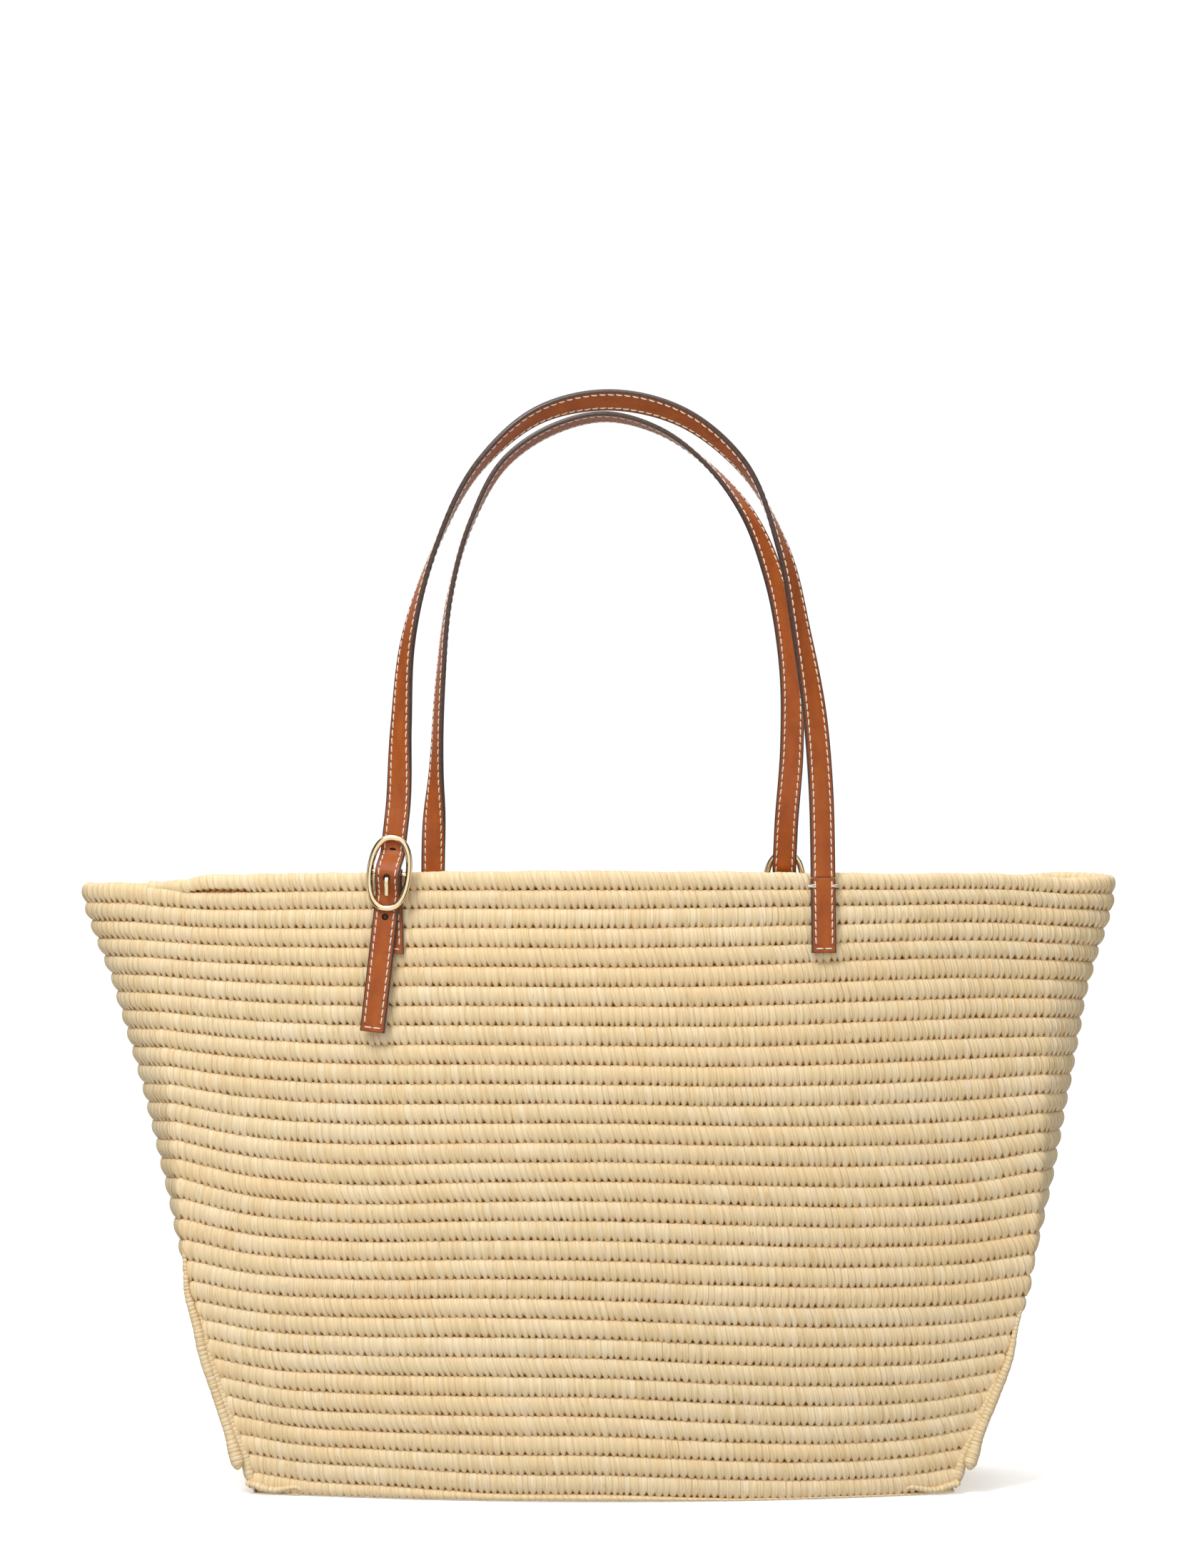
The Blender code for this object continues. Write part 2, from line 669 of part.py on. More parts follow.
def build_sewn_end(handle, place):
    """The plain end of the strap, sewn flat on the wall up to where the strap starts to flex."""
    middle = WALL_CLEARANCE + STRAP_THICKNESS / 2
    top = -FLEX_GAP / 2
    path = [(-SEWN_END_LENGTH, middle), (-SEWN_END_LENGTH / 2, middle), (top - FLEX_BEVEL * 1.2, middle), (top, middle)]
    name = f"{handle['name']}_sewn_end"
    return flat_ribbon(name, place, path, STRAP_WIDTH, STRAP_THICKNESS, TAN, 0.0, FLEX_BEVEL)


def build_tacks(handle, place):
    """A short bar of thread on each side of the sewn end."""
    made = []
    for sign, side in ((-1, "left"), (1, "right")):
        start = STRAP_WIDTH / 2 + CLEARANCE
        rings = []
        for share, size in ((0, 0.5), (0.2, 1.0), (0.8, 1.0), (1, 0.5)):
            x = sign * (start + TACK_LENGTH * share)
            ring = []
            for corner in range(8):
                angle = 2 * pi * corner / 8
                up = -FLEX_GAP * 2 + cos(angle) * TACK_RADIUS * size
                out = WALL_CLEARANCE + TACK_RADIUS * (1 + sin(angle) * size)
                ring.append(place @ Vector((x, up, out)))
            rings.append(ring)
        made.append(loft(f"{handle['name']}_thread_tack_{side}", rings, THREAD))
    return made


def arch_samples(handle, buckle_place, plain_place):
    """Centres, across axes and outer normals along the swinging strap, from the buckle's flex to the plain one."""
    buckle_flex = buckle_place @ Vector((0, FLEX_ABOVE_BAR, TAIL_MIDDLE))
    plain_flex = plain_place @ Vector((0, 0, WALL_CLEARANCE + STRAP_THICKNESS / 2))
    buckle_up = buckle_place.to_3x3() @ Vector((0, 1, 0))
    plain_up = plain_place.to_3x3() @ Vector((0, 1, 0))
    buckle_out = buckle_place.to_3x3() @ Vector((0, 0, 1))
    plain_out = plain_place.to_3x3() @ Vector((0, 0, 1))
    apex = BODY_HEIGHT + max(height for _, height, _ in handle["arch"])
    start = buckle_flex + buckle_up * FLEX_GAP / 2
    stop = plain_flex + plain_up * FLEX_GAP / 2
    stations = [
        Vector((*start, atan2(-buckle_out.x, -buckle_out.y))),
        Vector((*(start + buckle_up * FLEX_BEVEL * 2), atan2(-buckle_out.x, -buckle_out.y))),
    ]
    for x, height, twist in handle["arch"]:
        foot = start if x < 0 else stop
        z = BODY_HEIGHT + height
        share = smoothstep(foot.z, apex, z)
        stations.append(Vector((x, blend(foot.y, -APEX_HALF_DEPTH, share), z, radians(twist))))
    stations.append(Vector((*(stop + plain_up * FLEX_BEVEL * 2), atan2(plain_out.x, -plain_out.y))))
    stations.append(Vector((*stop, atan2(plain_out.x, -plain_out.y))))
    samples = spline(stations, STRAP_SPACING)
    centres = [point.to_3d() for point in samples]
    axes = []
    normals = []
    for index, sample in enumerate(samples):
        ahead = (centres[min(len(centres) - 1, index + 1)] - centres[max(0, index - 1)]).normalized()
        front = Vector((0, -1, 0))
        front = (front - ahead * front.dot(ahead)).normalized()
        normal = Matrix.Rotation(-sample.w, 3, ahead) @ front
        normals.append(normal)
        axes.append(ahead.cross(normal))
    return centres, axes, normals


def build_arch(handle, buckle_place, plain_place):
    centres, axes, normals = arch_samples(handle, buckle_place, plain_place)
    made = []
    half = STRAP_THICKNESS / 2
    for layer, near, far in (("outer_leather", half - LAYER, half), ("lining", LAYER - half, -half)):
        rings = ribbon_rings(centres, axes, normals, STRAP_WIDTH, near, far, FLEX_BEVEL, FLEX_BEVEL)
        made.append(loft(f"{handle['name']}_strap_{layer}", rings, TAN))
    return made


def build_handle(handle):
    buckle_place = foot_frame(handle, handle["buckle_x"], handle["bar_height"], -handle["buckle_lean"])
    plain_place = foot_frame(handle, handle["plain_x"], handle["plain_height"], 0.0)
    bar = buckle_place @ Vector((0, 0, RING_MIDDLE))
    flex = buckle_place @ Vector((0, FLEX_ABOVE_BAR, TAIL_MIDDLE))
    fixed = [build_tab(handle, buckle_place), build_sewn_end(handle, plain_place)]
    fixed += build_tacks(handle, plain_place)
    on_bar = [build_tail(handle, buckle_place), build_ring(handle, buckle_place), build_prong(handle, buckle_place)]
    swinging = build_arch(handle, buckle_place, plain_place)
    for obj in on_bar:
        set_origin(obj, bar)
    for obj in swinging:
        set_origin(obj, flex)
    side = side_matrix(handle)
    bpy.context.view_layer.update()
    tools = [obj for obj in bpy.data.objects if obj.hide_render and obj.name.startswith(handle["name"])]
    for obj in [*fixed, *on_bar, *swinging, *tools]:
        obj.matrix_world = side @ obj.matrix_world
    report_axes(handle, side, bar, flex, buckle_place, plain_place)


def report_axes(handle, side, bar, flex, buckle_place, plain_place):
    """Prints the prong's axis, and the handle's two swing axes, which meet at the plain flex."""
    plain_flex = side @ (plain_place @ Vector((0, 0, WALL_CLEARANCE + STRAP_THICKNESS / 2)))
    across = (side @ buckle_place).to_3x3() @ Vector((1, 0, 0))
    for label, point in (("tip", side @ bar), ("fold", side @ flex), ("prong", side @ bar)):
        axis = across if label == "prong" else (plain_flex - point).normalized()
        print(handle["name"], label, "at", tuple(round(v, 5) for v in point), "axis", tuple(round(v, 5) for v in axis))


def main():
    clear_scene()
    build_walls()
    build_base()
    build_rim()
    build_corners()
    for handle in HANDLES:
        build_handle(handle)


main()
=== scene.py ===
"""Looks of the coiled straw beach bag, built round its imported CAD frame. Metres, +Z up, front towards -Y."""

from math import atan2, cos, pi, radians, sin

import bpy
import numpy as np
from mathutils import Matrix, Vector


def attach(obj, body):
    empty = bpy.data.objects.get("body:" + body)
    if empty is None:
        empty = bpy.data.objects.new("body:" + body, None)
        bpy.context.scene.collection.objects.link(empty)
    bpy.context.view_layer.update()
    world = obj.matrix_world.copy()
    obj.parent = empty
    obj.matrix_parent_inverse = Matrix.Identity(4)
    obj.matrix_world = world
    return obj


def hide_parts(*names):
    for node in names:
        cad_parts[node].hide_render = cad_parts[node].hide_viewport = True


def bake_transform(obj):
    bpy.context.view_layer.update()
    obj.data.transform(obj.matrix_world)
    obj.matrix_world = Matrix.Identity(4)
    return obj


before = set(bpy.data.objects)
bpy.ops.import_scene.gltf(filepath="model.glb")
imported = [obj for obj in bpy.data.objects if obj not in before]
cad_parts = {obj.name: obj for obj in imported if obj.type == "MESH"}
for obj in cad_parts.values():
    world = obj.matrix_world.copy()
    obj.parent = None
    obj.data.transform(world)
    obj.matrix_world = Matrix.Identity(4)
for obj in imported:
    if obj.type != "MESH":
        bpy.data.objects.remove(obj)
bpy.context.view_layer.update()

# Basket, as in the CAD model
BODY_HEIGHT = 0.350
RIM_HALF_WIDTH = 0.2975
BASE_HALF_WIDTH = 0.1975
RIM_HALF_DEPTH = 0.075
BASE_HALF_DEPTH = 0.080
MIDDLE_SWELL = 0.005
RIM_CORNER_DEPTH = 0.025
BASE_CORNER_DEPTH = 0.051
RIM_END_ROUND = 0.025
BASE_END_HOLLOW = -0.008
WALL = 0.009
COIL_ROUNDS = 32
COIL_END_INSET = 0.0335
BASE_SQUARENESS = 3.3
BASE_MIDDLE_Z = 0.0047
PIPING_INSET = 0.004
PIPING_SINK = 0.0018
PIPING_RADIUS = 0.0028
BULB_END = 0.0140
LONG_PIPING_TOP = 0.118
SHORT_PIPING_TOP = 0.088
CORNERS = ((-1, -1, "front_left"), (1, -1, "front_right"), (1, 1, "rear_right"), (-1, 1, "rear_left"))
WALL_PROFILE = (
    (0.00, 0.00), (0.05, 0.078), (0.12, 0.185), (0.22, 0.321), (0.28, 0.372), (0.35, 0.442), (0.42, 0.513),
    (0.50, 0.579), (0.58, 0.638), (0.65, 0.692), (0.72, 0.750), (0.80, 0.814), (0.85, 0.868), (0.90, 0.933),
    (0.95, 0.990), (1.00, 1.00),
)
SIDE_PROFILE = (
    (0.00, 0.0003), (0.08, 0.0006), (0.17, 0.0018), (0.28, 0.0031), (0.50, 0.0031), (0.65, 0.0018),
    (0.80, -0.0010), (0.95, -0.0026), (1.00, -0.0028),
)
ROW_PITCH = 0.01085
ROW_START = -0.0047

# How far the hand-laid rows stray from an even climb, in mm: heights down, places along a broad wall across
WAVE_PLACES = (-1.0, -0.85, -0.6, -0.3, 0.0, 0.3, 0.6, 0.85, 1.0)
WAVE_HEIGHTS = (0.012, 0.046, 0.109, 0.174, 0.241, 0.295, 0.329, 0.351)
ROW_WAVE = (
    (5.5, 2.5, 1.5, -0.5, 0.0, -1.5, -3.0, -1.5, 2.0),
    (5.0, 0.0, -1.0, -0.5, 0.0, -3.0, -5.0, -3.0, 2.0),
    (3.5, -1.5, -2.0, 0.0, -0.5, -3.0, -4.5, -3.5, 0.0),
    (7.5, -0.5, -4.0, -1.0, 0.5, -1.0, -2.5, -0.5, 5.0),
    (5.0, 1.0, -1.5, -0.5, 0.0, -0.5, 1.5, 4.0, 5.0),
    (2.0, 0.0, -1.5, -0.5, 0.0, 1.5, 5.0, 6.0, 4.5),
    (-0.5, -3.0, -2.0, -0.5, 0.0, 1.5, 3.0, 3.5, 1.0),
    (0.0, -3.0, -3.0, -2.0, -1.0, -1.0, -1.5, -1.5, -4.0),
)

# The laid coil and its wraps of leaf
PITCH = BODY_HEIGHT / COIL_ROUNDS
COIL_STEP = 0.00065
LAST_ROUND_OVERLAP = 0.022
TIP_HALF_HEIGHT = 0.0031
ROUND_CUT = 0.30
WRAP_PITCH = 0.0039
CORD_WRAP_RATE = 1.6
GAP_HALF_WIDTH = 0.00072
LOWEST = 0.0002
PROFILE_SMOOTH = 26
INNER_ANGLES = (115, 140, 170, 200, 230, 255)
OUTER_ANGLES = (-90, -78, -66, -54, -43, -31, -18, -4, 12, 30, 48, 66, 82, 95)

# Straps, as in the CAD model
STRAP_WIDTH = 0.014
LAYER = 0.00125
LAYER_GAP = 0.0003
STRAP_THICKNESS = 2 * LAYER + LAYER_GAP
TAB_THICKNESS = 0.0014
TAB_LENGTH = 0.044
SEWN_END_LENGTH = 0.041
TAIL_LENGTH = 0.089
WALL_CLEARANCE = 0.0007
CLEARANCE = 0.0003
BAR_CLEARANCE = 0.0005
RING_HEIGHT = 0.043
RING_WIDTH = 0.0256
RING_BAR_RADIUS = 0.0013
RING_SECTION_RADIUS = 0.0018
RING_SQUARENESS = 2.3
PRONG_WIDTH = 0.0026
PRONG_LENGTH = 0.0127
PRONG_LIFT = 0.0022
FLEX_GAP = 0.0026
FLEX_BEVEL = 0.0030
FLEX_ABOVE_BAR = 0.0265
APEX_HALF_DEPTH = 0.079
TAB_MIDDLE = WALL_CLEARANCE + TAB_THICKNESS / 2
SEWN_MIDDLE = WALL_CLEARANCE + STRAP_THICKNESS / 2
TAIL_MIDDLE = WALL_CLEARANCE + TAB_THICKNESS + CLEARANCE + STRAP_THICKNESS / 2
RING_MIDDLE = TAIL_MIDDLE + STRAP_THICKNESS / 2 + CLEARANCE + RING_SECTION_RADIUS
LOOP_RADIUS = RING_BAR_RADIUS + BAR_CLEARANCE + TAB_THICKNESS / 2
OVER_BAR = RING_MIDDLE + LOOP_RADIUS + TAB_THICKNESS / 2 + BAR_CLEARANCE + STRAP_THICKNESS / 2
STRAP_REACH = (RING_HEIGHT / 2 - 2 * RING_SECTION_RADIUS) * 0.72

# Each strap in its own front: the arch's points are (x, z, twist in degrees).
FRONT = {
    "name": "front",
    "turn": 0.0,
    "buckle_x": -0.118,
    "bar_z": 0.349,
    "buckle_lean": 6.0,
    "plain_x": 0.1225,
    "plain_z": 0.3455,
    "arch": (
        (-0.1127, 0.431, 36), (-0.1085, 0.480, 60), (-0.0935, 0.530, 86), (-0.0680, 0.577, 106),
        (-0.0350, 0.6045, 124), (0.0020, 0.6125, 136), (0.0440, 0.6030, 130), (0.0760, 0.5775, 112),
        (0.1000, 0.530, 64), (0.1110, 0.480, 42), (0.1185, 0.434, 20), (0.1215, 0.398, 11),
    ),
}
REAR = {
    "name": "rear",
    "turn": 180.0,
    "buckle_x": -0.106,
    "bar_z": 0.338,
    "buckle_lean": -3.0,
    "plain_x": 0.1000,
    "plain_z": 0.3430,
    "arch": (
        (-0.1115, 0.420, -6), (-0.1105, 0.472, -16), (-0.1010, 0.522, -34), (-0.0850, 0.560, -58),
        (-0.0620, 0.5880, -82), (-0.0330, 0.6085, -96), (-0.0010, 0.6165, -104), (0.0320, 0.6080, -106),
        (0.0570, 0.5905, -104), (0.0780, 0.554, -92), (0.0905, 0.510, -84), (0.0960, 0.460, -72),
        (0.0985, 0.405, -56),
    ),
}
HANDLES = (FRONT, REAR)

# Stitching, painted edges and holes
STITCH_PITCH = 0.0045
STITCH_LENGTH = 0.0038
STITCH_RADIUS = 0.00038
STITCH_INSET = 0.0023
STITCH_SLANT = 4.5
STITCH_SINK = 0.00010
END_STITCH = 0.0024
EDGE_TURN = 0.0004
HOLE_DEPTH = 0.0019

# Studio
CAMERA_HEIGHT = 0.399
CAMERA_DISTANCE = 2.5
CAMERA_X = -0.002
FOCAL_MM = 100.0


# ---------------------------------------------------------------- meshes

def smoothstep(low, high, value):
    share = np.clip((value - low) / (high - low), 0.0, 1.0)
    return share * share * (3 - 2 * share)


def blend(low, high, share):
    return low + (high - low) * share


def noise_line(position, scale, seed):
    """Smooth noise from -1 to 1 along a line, one knot each scale."""
    place = np.asarray(position) / scale
    base = np.floor(place).astype(int)
    share = place - base
    share = share * share * (3 - 2 * share)
    low = base.min()
    knots = np.random.default_rng(seed).uniform(-1, 1, base.max() - low + 3)
    return knots[base - low] * (1 - share) + knots[base - low + 1] * share


def unit(vectors):
    """The same vectors at length 1."""
    return vectors / np.maximum(np.linalg.norm(vectors, axis=-1, keepdims=True), 1e-9)


def run_length(points):
    """Length of a line up to each of its points."""
    return np.concatenate([[0], np.cumsum(np.linalg.norm(np.diff(points, axis=0), axis=1))])


def read_line(at, places, vectors):
    """Vectors of a line at other places along it."""
    return np.stack([np.interp(at, places, vectors[:, axis]) for axis in range(3)], -1)


def signed_power(values, power):
    return np.sign(values) * np.abs(values) ** power


def all_round(values, count):
    """One value for each station, repeated round its ring."""
    return np.repeat(values[:, None], count, 1)


def hermite(values, tangents, index, t, gap):
    """A smooth curve from value index to the next, t of the way, with tangents at both."""
    return (
        values[index] * (2 * t**3 - 3 * t**2 + 1)
        + tangents[index] * gap * (t**3 - 2 * t**2 + t)
        + values[index + 1] * (3 * t**2 - 2 * t**3)
        + tangents[index + 1] * gap * (t**3 - t**2)
    )


def grid_faces(stations, ring, closed):
    """Four corners of each face of a tube's grid of points, and each face's place round the ring."""
    row, column = np.meshgrid(np.arange(stations if closed else stations - 1), np.arange(ring), indexing="ij")
    next_row = (row + 1) % stations
    after = (column + 1) % ring
    faces = [row * ring + column, row * ring + after, next_row * ring + after, next_row * ring + column]
    return np.stack(faces, -1).reshape(-1, 4), column.reshape(-1)


def new_object(name, points, loops, starts, attributes, face_materials=None):
    """An object from its points, faces' corners and faces' first corners, with named values at its points."""
    mesh = bpy.data.meshes.new(name)
    mesh.vertices.add(points.size // 3)
    mesh.vertices.foreach_set("co", points.astype(np.float32).reshape(-1))
    mesh.loops.add(len(loops))
    mesh.loops.foreach_set("vertex_index", loops.astype(np.int32))
    mesh.polygons.add(len(starts))
    mesh.polygons.foreach_set("loop_start", starts.astype(np.int32))
    if face_materials is not None:
        mesh.polygons.foreach_set("material_index", face_materials)
    mesh.update(calc_edges=True)
    for key, values in attributes.items():
        kind, field = ("FLOAT_VECTOR", "vector") if values.ndim == 3 else ("FLOAT", "value")
        layer = mesh.attributes.new(key, kind, "POINT")
        layer.data.foreach_set(field, values.astype(np.float32).reshape(-1))
    mesh.shade_smooth()
    obj = bpy.data.objects.new(name, mesh)
    bpy.context.scene.collection.objects.link(obj)
    return obj


def quad_mesh(name, points, closed=False, attributes=None, painted=None):
    """A tube from a grid of points [stations, ring], capped at both ends or closed into a loop."""
    stations, ring = points.shape[:2]
    faces, column = grid_faces(stations, ring, closed)
    loops = faces.reshape(-1)
    starts = np.arange(len(faces)) * 4
    if not closed:
        starts = np.concatenate([starts, [len(loops), len(loops) + ring]])
        loops = np.concatenate([loops, np.arange(ring)[::-1], np.arange(ring) + (stations - 1) * ring])
    face_materials = None
    if painted is not None:
        face_materials = np.ones(len(starts), np.int32)
        face_materials[: len(faces)] = np.asarray(painted, np.int32)[column]
    return new_object(name, points, loops, starts, attributes or {}, face_materials)


def dress(obj, slot, body, *materials):
    """Gives a piece its materials and the body that it rides on. The slot is not used."""
    for material in materials:
        obj.data.materials.append(material)
    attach(obj, body)
    return obj


# ---------------------------------------------------------------- materials

class Nodes:
    """Short names for building one node tree, of a material or of the world."""

    def __init__(self, owner):
        owner.use_nodes = True
        self.owner = owner
        self.tree = owner.node_tree
        self.shader = self.tree.nodes.get("Principled BSDF") or self.tree.nodes["Background"]

    def link(self, source, target):
        self.tree.links.new(source, target)

    def set(self, name, value):
        self.shader.inputs[name].default_value = value

    def node(self, kind, **settings):
        made = self.tree.nodes.new(kind)
        for key, value in settings.items():
            setattr(made, key, value)
        return made

    def attribute(self, name, output="Vector"):
        return self.node("ShaderNodeAttribute", attribute_name=name).outputs[output]

    def scaled(self, vector, scale):
        mapping = self.node("ShaderNodeMapping")
        mapping.inputs["Scale"].default_value = scale
        self.link(vector, mapping.inputs["Vector"])
        return mapping.outputs["Vector"]

    def noise(self, vector, scale, detail=2.0, roughness=0.5):
        made = self.node("ShaderNodeTexNoise")
        for key, number in (("Scale", 1.0), ("Detail", detail), ("Roughness", roughness)):
            made.inputs[key].default_value = number
        self.link(self.scaled(vector, scale), made.inputs["Vector"])
        return made.outputs["Fac"]

    def random(self, value):
        made = self.node("ShaderNodeTexWhiteNoise", noise_dimensions="1D")
        self.link(value, made.inputs["W"])
        return made.outputs["Value"]

    def spread(self, value, low, high, to_low=0.0, to_high=1.0):
        made = self.node("ShaderNodeMapRange")
        for key, number in (("From Min", low), ("From Max", high), ("To Min", to_low), ("To Max", to_high)):
            made.inputs[key].default_value = number
        self.link(value, made.inputs["Value"])
        return made.outputs["Result"]

    def mix(self, share, low, high):
        made = self.node("ShaderNodeMix", data_type="RGBA")
        for key, value in ((0, share), (6, low), (7, high)):
            if isinstance(value, tuple):
                made.inputs[key].default_value = (*value, 1.0)
            else:
                self.link(value, made.inputs[key])
        return made.outputs[2]

    def math(self, operation, *values):
        made = self.node("ShaderNodeMath", operation=operation)
        for index, value in enumerate(values):
            if isinstance(value, (int, float)):
                made.inputs[index].default_value = value
            else:
                self.link(value, made.inputs[index])
        return made.outputs[0]

    def plus(self, first, second):
        return self.math("ADD", first, second)

    def minus(self, first, second):
        return self.math("SUBTRACT", first, second)

    def times(self, first, second):
        return self.math("MULTIPLY", first, second)

    def bump(self, height, strength, distance):
        made = self.node("ShaderNodeBump")
        made.inputs["Strength"].default_value = strength
        made.inputs["Distance"].default_value = distance
        self.link(height, made.inputs["Height"])
        self.link(made.outputs["Normal"], self.shader.inputs["Normal"])


def new_material(name):
    return Nodes(bpy.data.materials.new(name))


def shaded(colour, share):
    return tuple(channel * share for channel in colour)


def straw_material(name, light, dark, groove_shade_and_brown):
    """Palm leaf wrapped across the coil: a tone for each wrap, fine fibres, brown gaps at its foot and painted
    shade in the grooves where the rounds meet.
    """
    n = new_material(name)
    coil = n.attribute("coil")
    wrap = n.attribute("wrap", "Fac")
    strips = n.noise(coil, (420, 14, 1), 1.0)
    fibres = n.noise(coil, (2100, 70, 1), 2.0, 0.6)
    folds = n.noise(coil, (620, 40, 1), 1.5)
    broad = n.noise(coil, (18, 6, 0.9))
    specks = n.noise(coil, (700, 420, 1), 2.0, 0.7)

    # Distance from the nearest gap between two wraps, a number for each wrap and one for each gap
    away = n.minus(0.5, n.math("ABSOLUTE", n.minus(n.math("FRACT", wrap), 0.5)))
    tone = n.random(n.math("FLOOR", wrap))
    chance = n.random(n.plus(n.math("FLOOR", n.plus(wrap, 0.5)), 0.37))

    # The leaf
    blush = (light[0] * 0.99, light[1] * 0.89, light[2] * 0.76)
    cream = (light[0] * 1.05, light[1] * 1.08, light[2] * 1.20)
    colour = n.mix(n.spread(strips, 0.36, 0.64), dark, light)
    colour = n.mix(n.spread(tone, 0.55, 1.0, 0.0, 0.55), colour, cream)
    colour = n.mix(n.spread(tone, 0.0, 0.35, 0.42, 0.0), colour, blush)
    colour = n.mix(n.times(n.attribute("tint", "Fac"), 0.55), colour, blush)
    colour = n.mix(n.spread(fibres, 0.40, 0.75, 0.0, 0.26), colour, shaded(dark, 0.72))
    colour = n.mix(n.spread(broad, 0.50, 0.70, 0.0, 0.45), colour, cream)
    crease = n.math("ABSOLUTE", n.minus(folds, 0.5))
    colour = n.mix(n.spread(crease, 0.0, 0.022, 0.34, 0.0), colour, groove_shade_and_brown)
    colour = n.mix(n.spread(specks, 0.70, 0.78, 0.0, 0.45), colour, groove_shade_and_brown)

    # The seam between two wraps, wider and brown at the round's foot
    seam = n.times(n.spread(away, 0.0, 0.075, 1.0, 0.0), n.spread(chance, 0.0, 1.0, 0.05, 0.42))
    colour = n.mix(seam, colour, shaded(dark, 0.62))
    low = n.times(n.attribute("low", "Fac"), n.spread(chance, 0.0, 1.0, 0.70, 1.08))
    ragged = n.spread(strips, 0.3, 0.7, -0.10, 0.10)
    tooth = n.spread(n.minus(n.plus(low, ragged), n.times(away, 2.3)), 0.22, 0.50)
    colour = n.mix(n.times(tooth, n.spread(chance, 0.0, 1.0, 0.66, 1.0)), colour, groove_shade_and_brown)
    # Painted shade in the grooves where the rounds meet and in the open slit under the last round's tip, with the
    # brown gaps between wraps
    colour = n.mix(n.spread(n.attribute("groove_shade_and_brown", "Fac"), 0.25, 0.90, 0.0, 0.95), colour, groove_shade_and_brown)

    n.link(colour, n.shader.inputs["Base Color"])
    n.link(n.spread(fibres, 0.3, 0.7, 0.42, 0.60), n.shader.inputs["Roughness"])
    n.set("Specular IOR Level", 0.34)
    height = n.plus(n.times(fibres, 0.45), n.times(strips, 0.35))
    height = n.plus(height, n.spread(crease, 0.0, 0.05, 0.0, 0.30))
    height = n.plus(height, n.times(n.spread(away, 0.0, 0.22), 0.9))
    n.bump(n.minus(height, n.times(tooth, 1.0)), 0.7, 0.00045)
    return n.owner


def leather_material(name, face, shade):
    """Smooth cowhide with fine grain, a few creases and a burnish at the edges and the needle holes."""
    n = new_material(name)
    place = n.attribute("leather")
    grain = n.noise(place, (1500, 1500, 1), 3.0, 0.55)
    pores = n.node("ShaderNodeTexVoronoi", feature="DISTANCE_TO_EDGE")
    n.link(n.scaled(place, (900, 900, 1)), pores.inputs["Vector"])
    clouds = n.noise(place, (60, 140, 1), 3.0)
    creases = n.noise(place, (420, 60, 1), 3.0, 0.6)
    colour = n.mix(n.spread(clouds, 0.3, 0.7), face, shade)
    colour = n.mix(n.spread(creases, 0.60, 0.74, 0.0, 0.35), colour, shaded(shade, 0.62))
    colour = n.mix(n.attribute("burnish", "Fac"), colour, shaded(shade, 0.30))
    n.link(colour, n.shader.inputs["Base Color"])
    n.link(n.spread(grain, 0.3, 0.7, 0.36, 0.50), n.shader.inputs["Roughness"])
    n.set("Specular IOR Level", 0.36)
    height = n.plus(n.times(grain, 0.5), n.times(pores.outputs["Distance"], 1.2))
    n.bump(n.minus(height, n.times(n.spread(creases, 0.58, 0.72), 0.9)), 0.35, 0.00018)
    return n.owner


def edge_material():
    """Painted strap edge: dark brown, slightly glossy, uneven."""
    n = new_material("edge_paint")
    uneven = n.noise(n.attribute("leather"), (420, 420, 1), 3.0)
    colour = n.mix(n.spread(uneven, 0.3, 0.7), (0.048, 0.025, 0.018), (0.085, 0.048, 0.036))
    n.link(colour, n.shader.inputs["Base Color"])
    n.link(n.spread(uneven, 0.3, 0.7, 0.30, 0.44), n.shader.inputs["Roughness"])
    n.bump(uneven, 0.3, 0.0002)
    return n.owner


def thread_material():
    """Pale waxed thread, twisted."""
    n = new_material("waxed_thread")
    twist = n.node("ShaderNodeTexWave", wave_type="BANDS", bands_direction="DIAGONAL")
    twist.inputs["Scale"].default_value = 1.0
    twist.inputs["Distortion"].default_value = 1.5
    n.link(n.scaled(n.attribute("twist"), (900, 900, 900)), twist.inputs["Vector"])
    colour = n.mix(twist.outputs["Fac"], (0.74, 0.62, 0.46), (0.92, 0.86, 0.75))
    n.link(colour, n.shader.inputs["Base Color"])
    n.set("Roughness", 0.62)
    n.bump(twist.outputs["Fac"], 0.5, 0.0001)
    return n.owner


def gold_material():
    """Polished gold plate with faint handling marks."""
    n = new_material("polished_gold")
    marks = n.noise(n.node("ShaderNodeTexCoord").outputs["Object"], (300, 300, 1400), 4.0, 0.6)
    colour = n.mix(n.spread(marks, 0.3, 0.7), (0.93, 0.74, 0.44), (0.97, 0.81, 0.55))
    n.link(colour, n.shader.inputs["Base Color"])
    n.set("Metallic", 1.0)
    n.set("Specular Tint", (0.34, 0.20, 0.09, 1.0))
    n.link(n.spread(marks, 0.3, 0.75, 0.10, 0.22), n.shader.inputs["Roughness"])
    n.bump(marks, 0.06, 0.0001)
    return n.owner


# ---------------------------------------------------------------- basket

TABLE_Z = np.linspace(0, BODY_HEIGHT, 701)


def smoothed_profile():
    raw = np.interp(TABLE_Z / BODY_HEIGHT, *np.array(WALL_PROFILE).T)
    padded = np.concatenate([raw[0] * 2 - raw[PROFILE_SMOOTH:0:-1], raw, np.full(PROFILE_SMOOTH, raw[-1])])
    window = np.hanning(2 * PROFILE_SMOOTH + 1)
    return np.convolve(padded, window / window.sum(), mode="valid")


PROFILE = smoothed_profile()


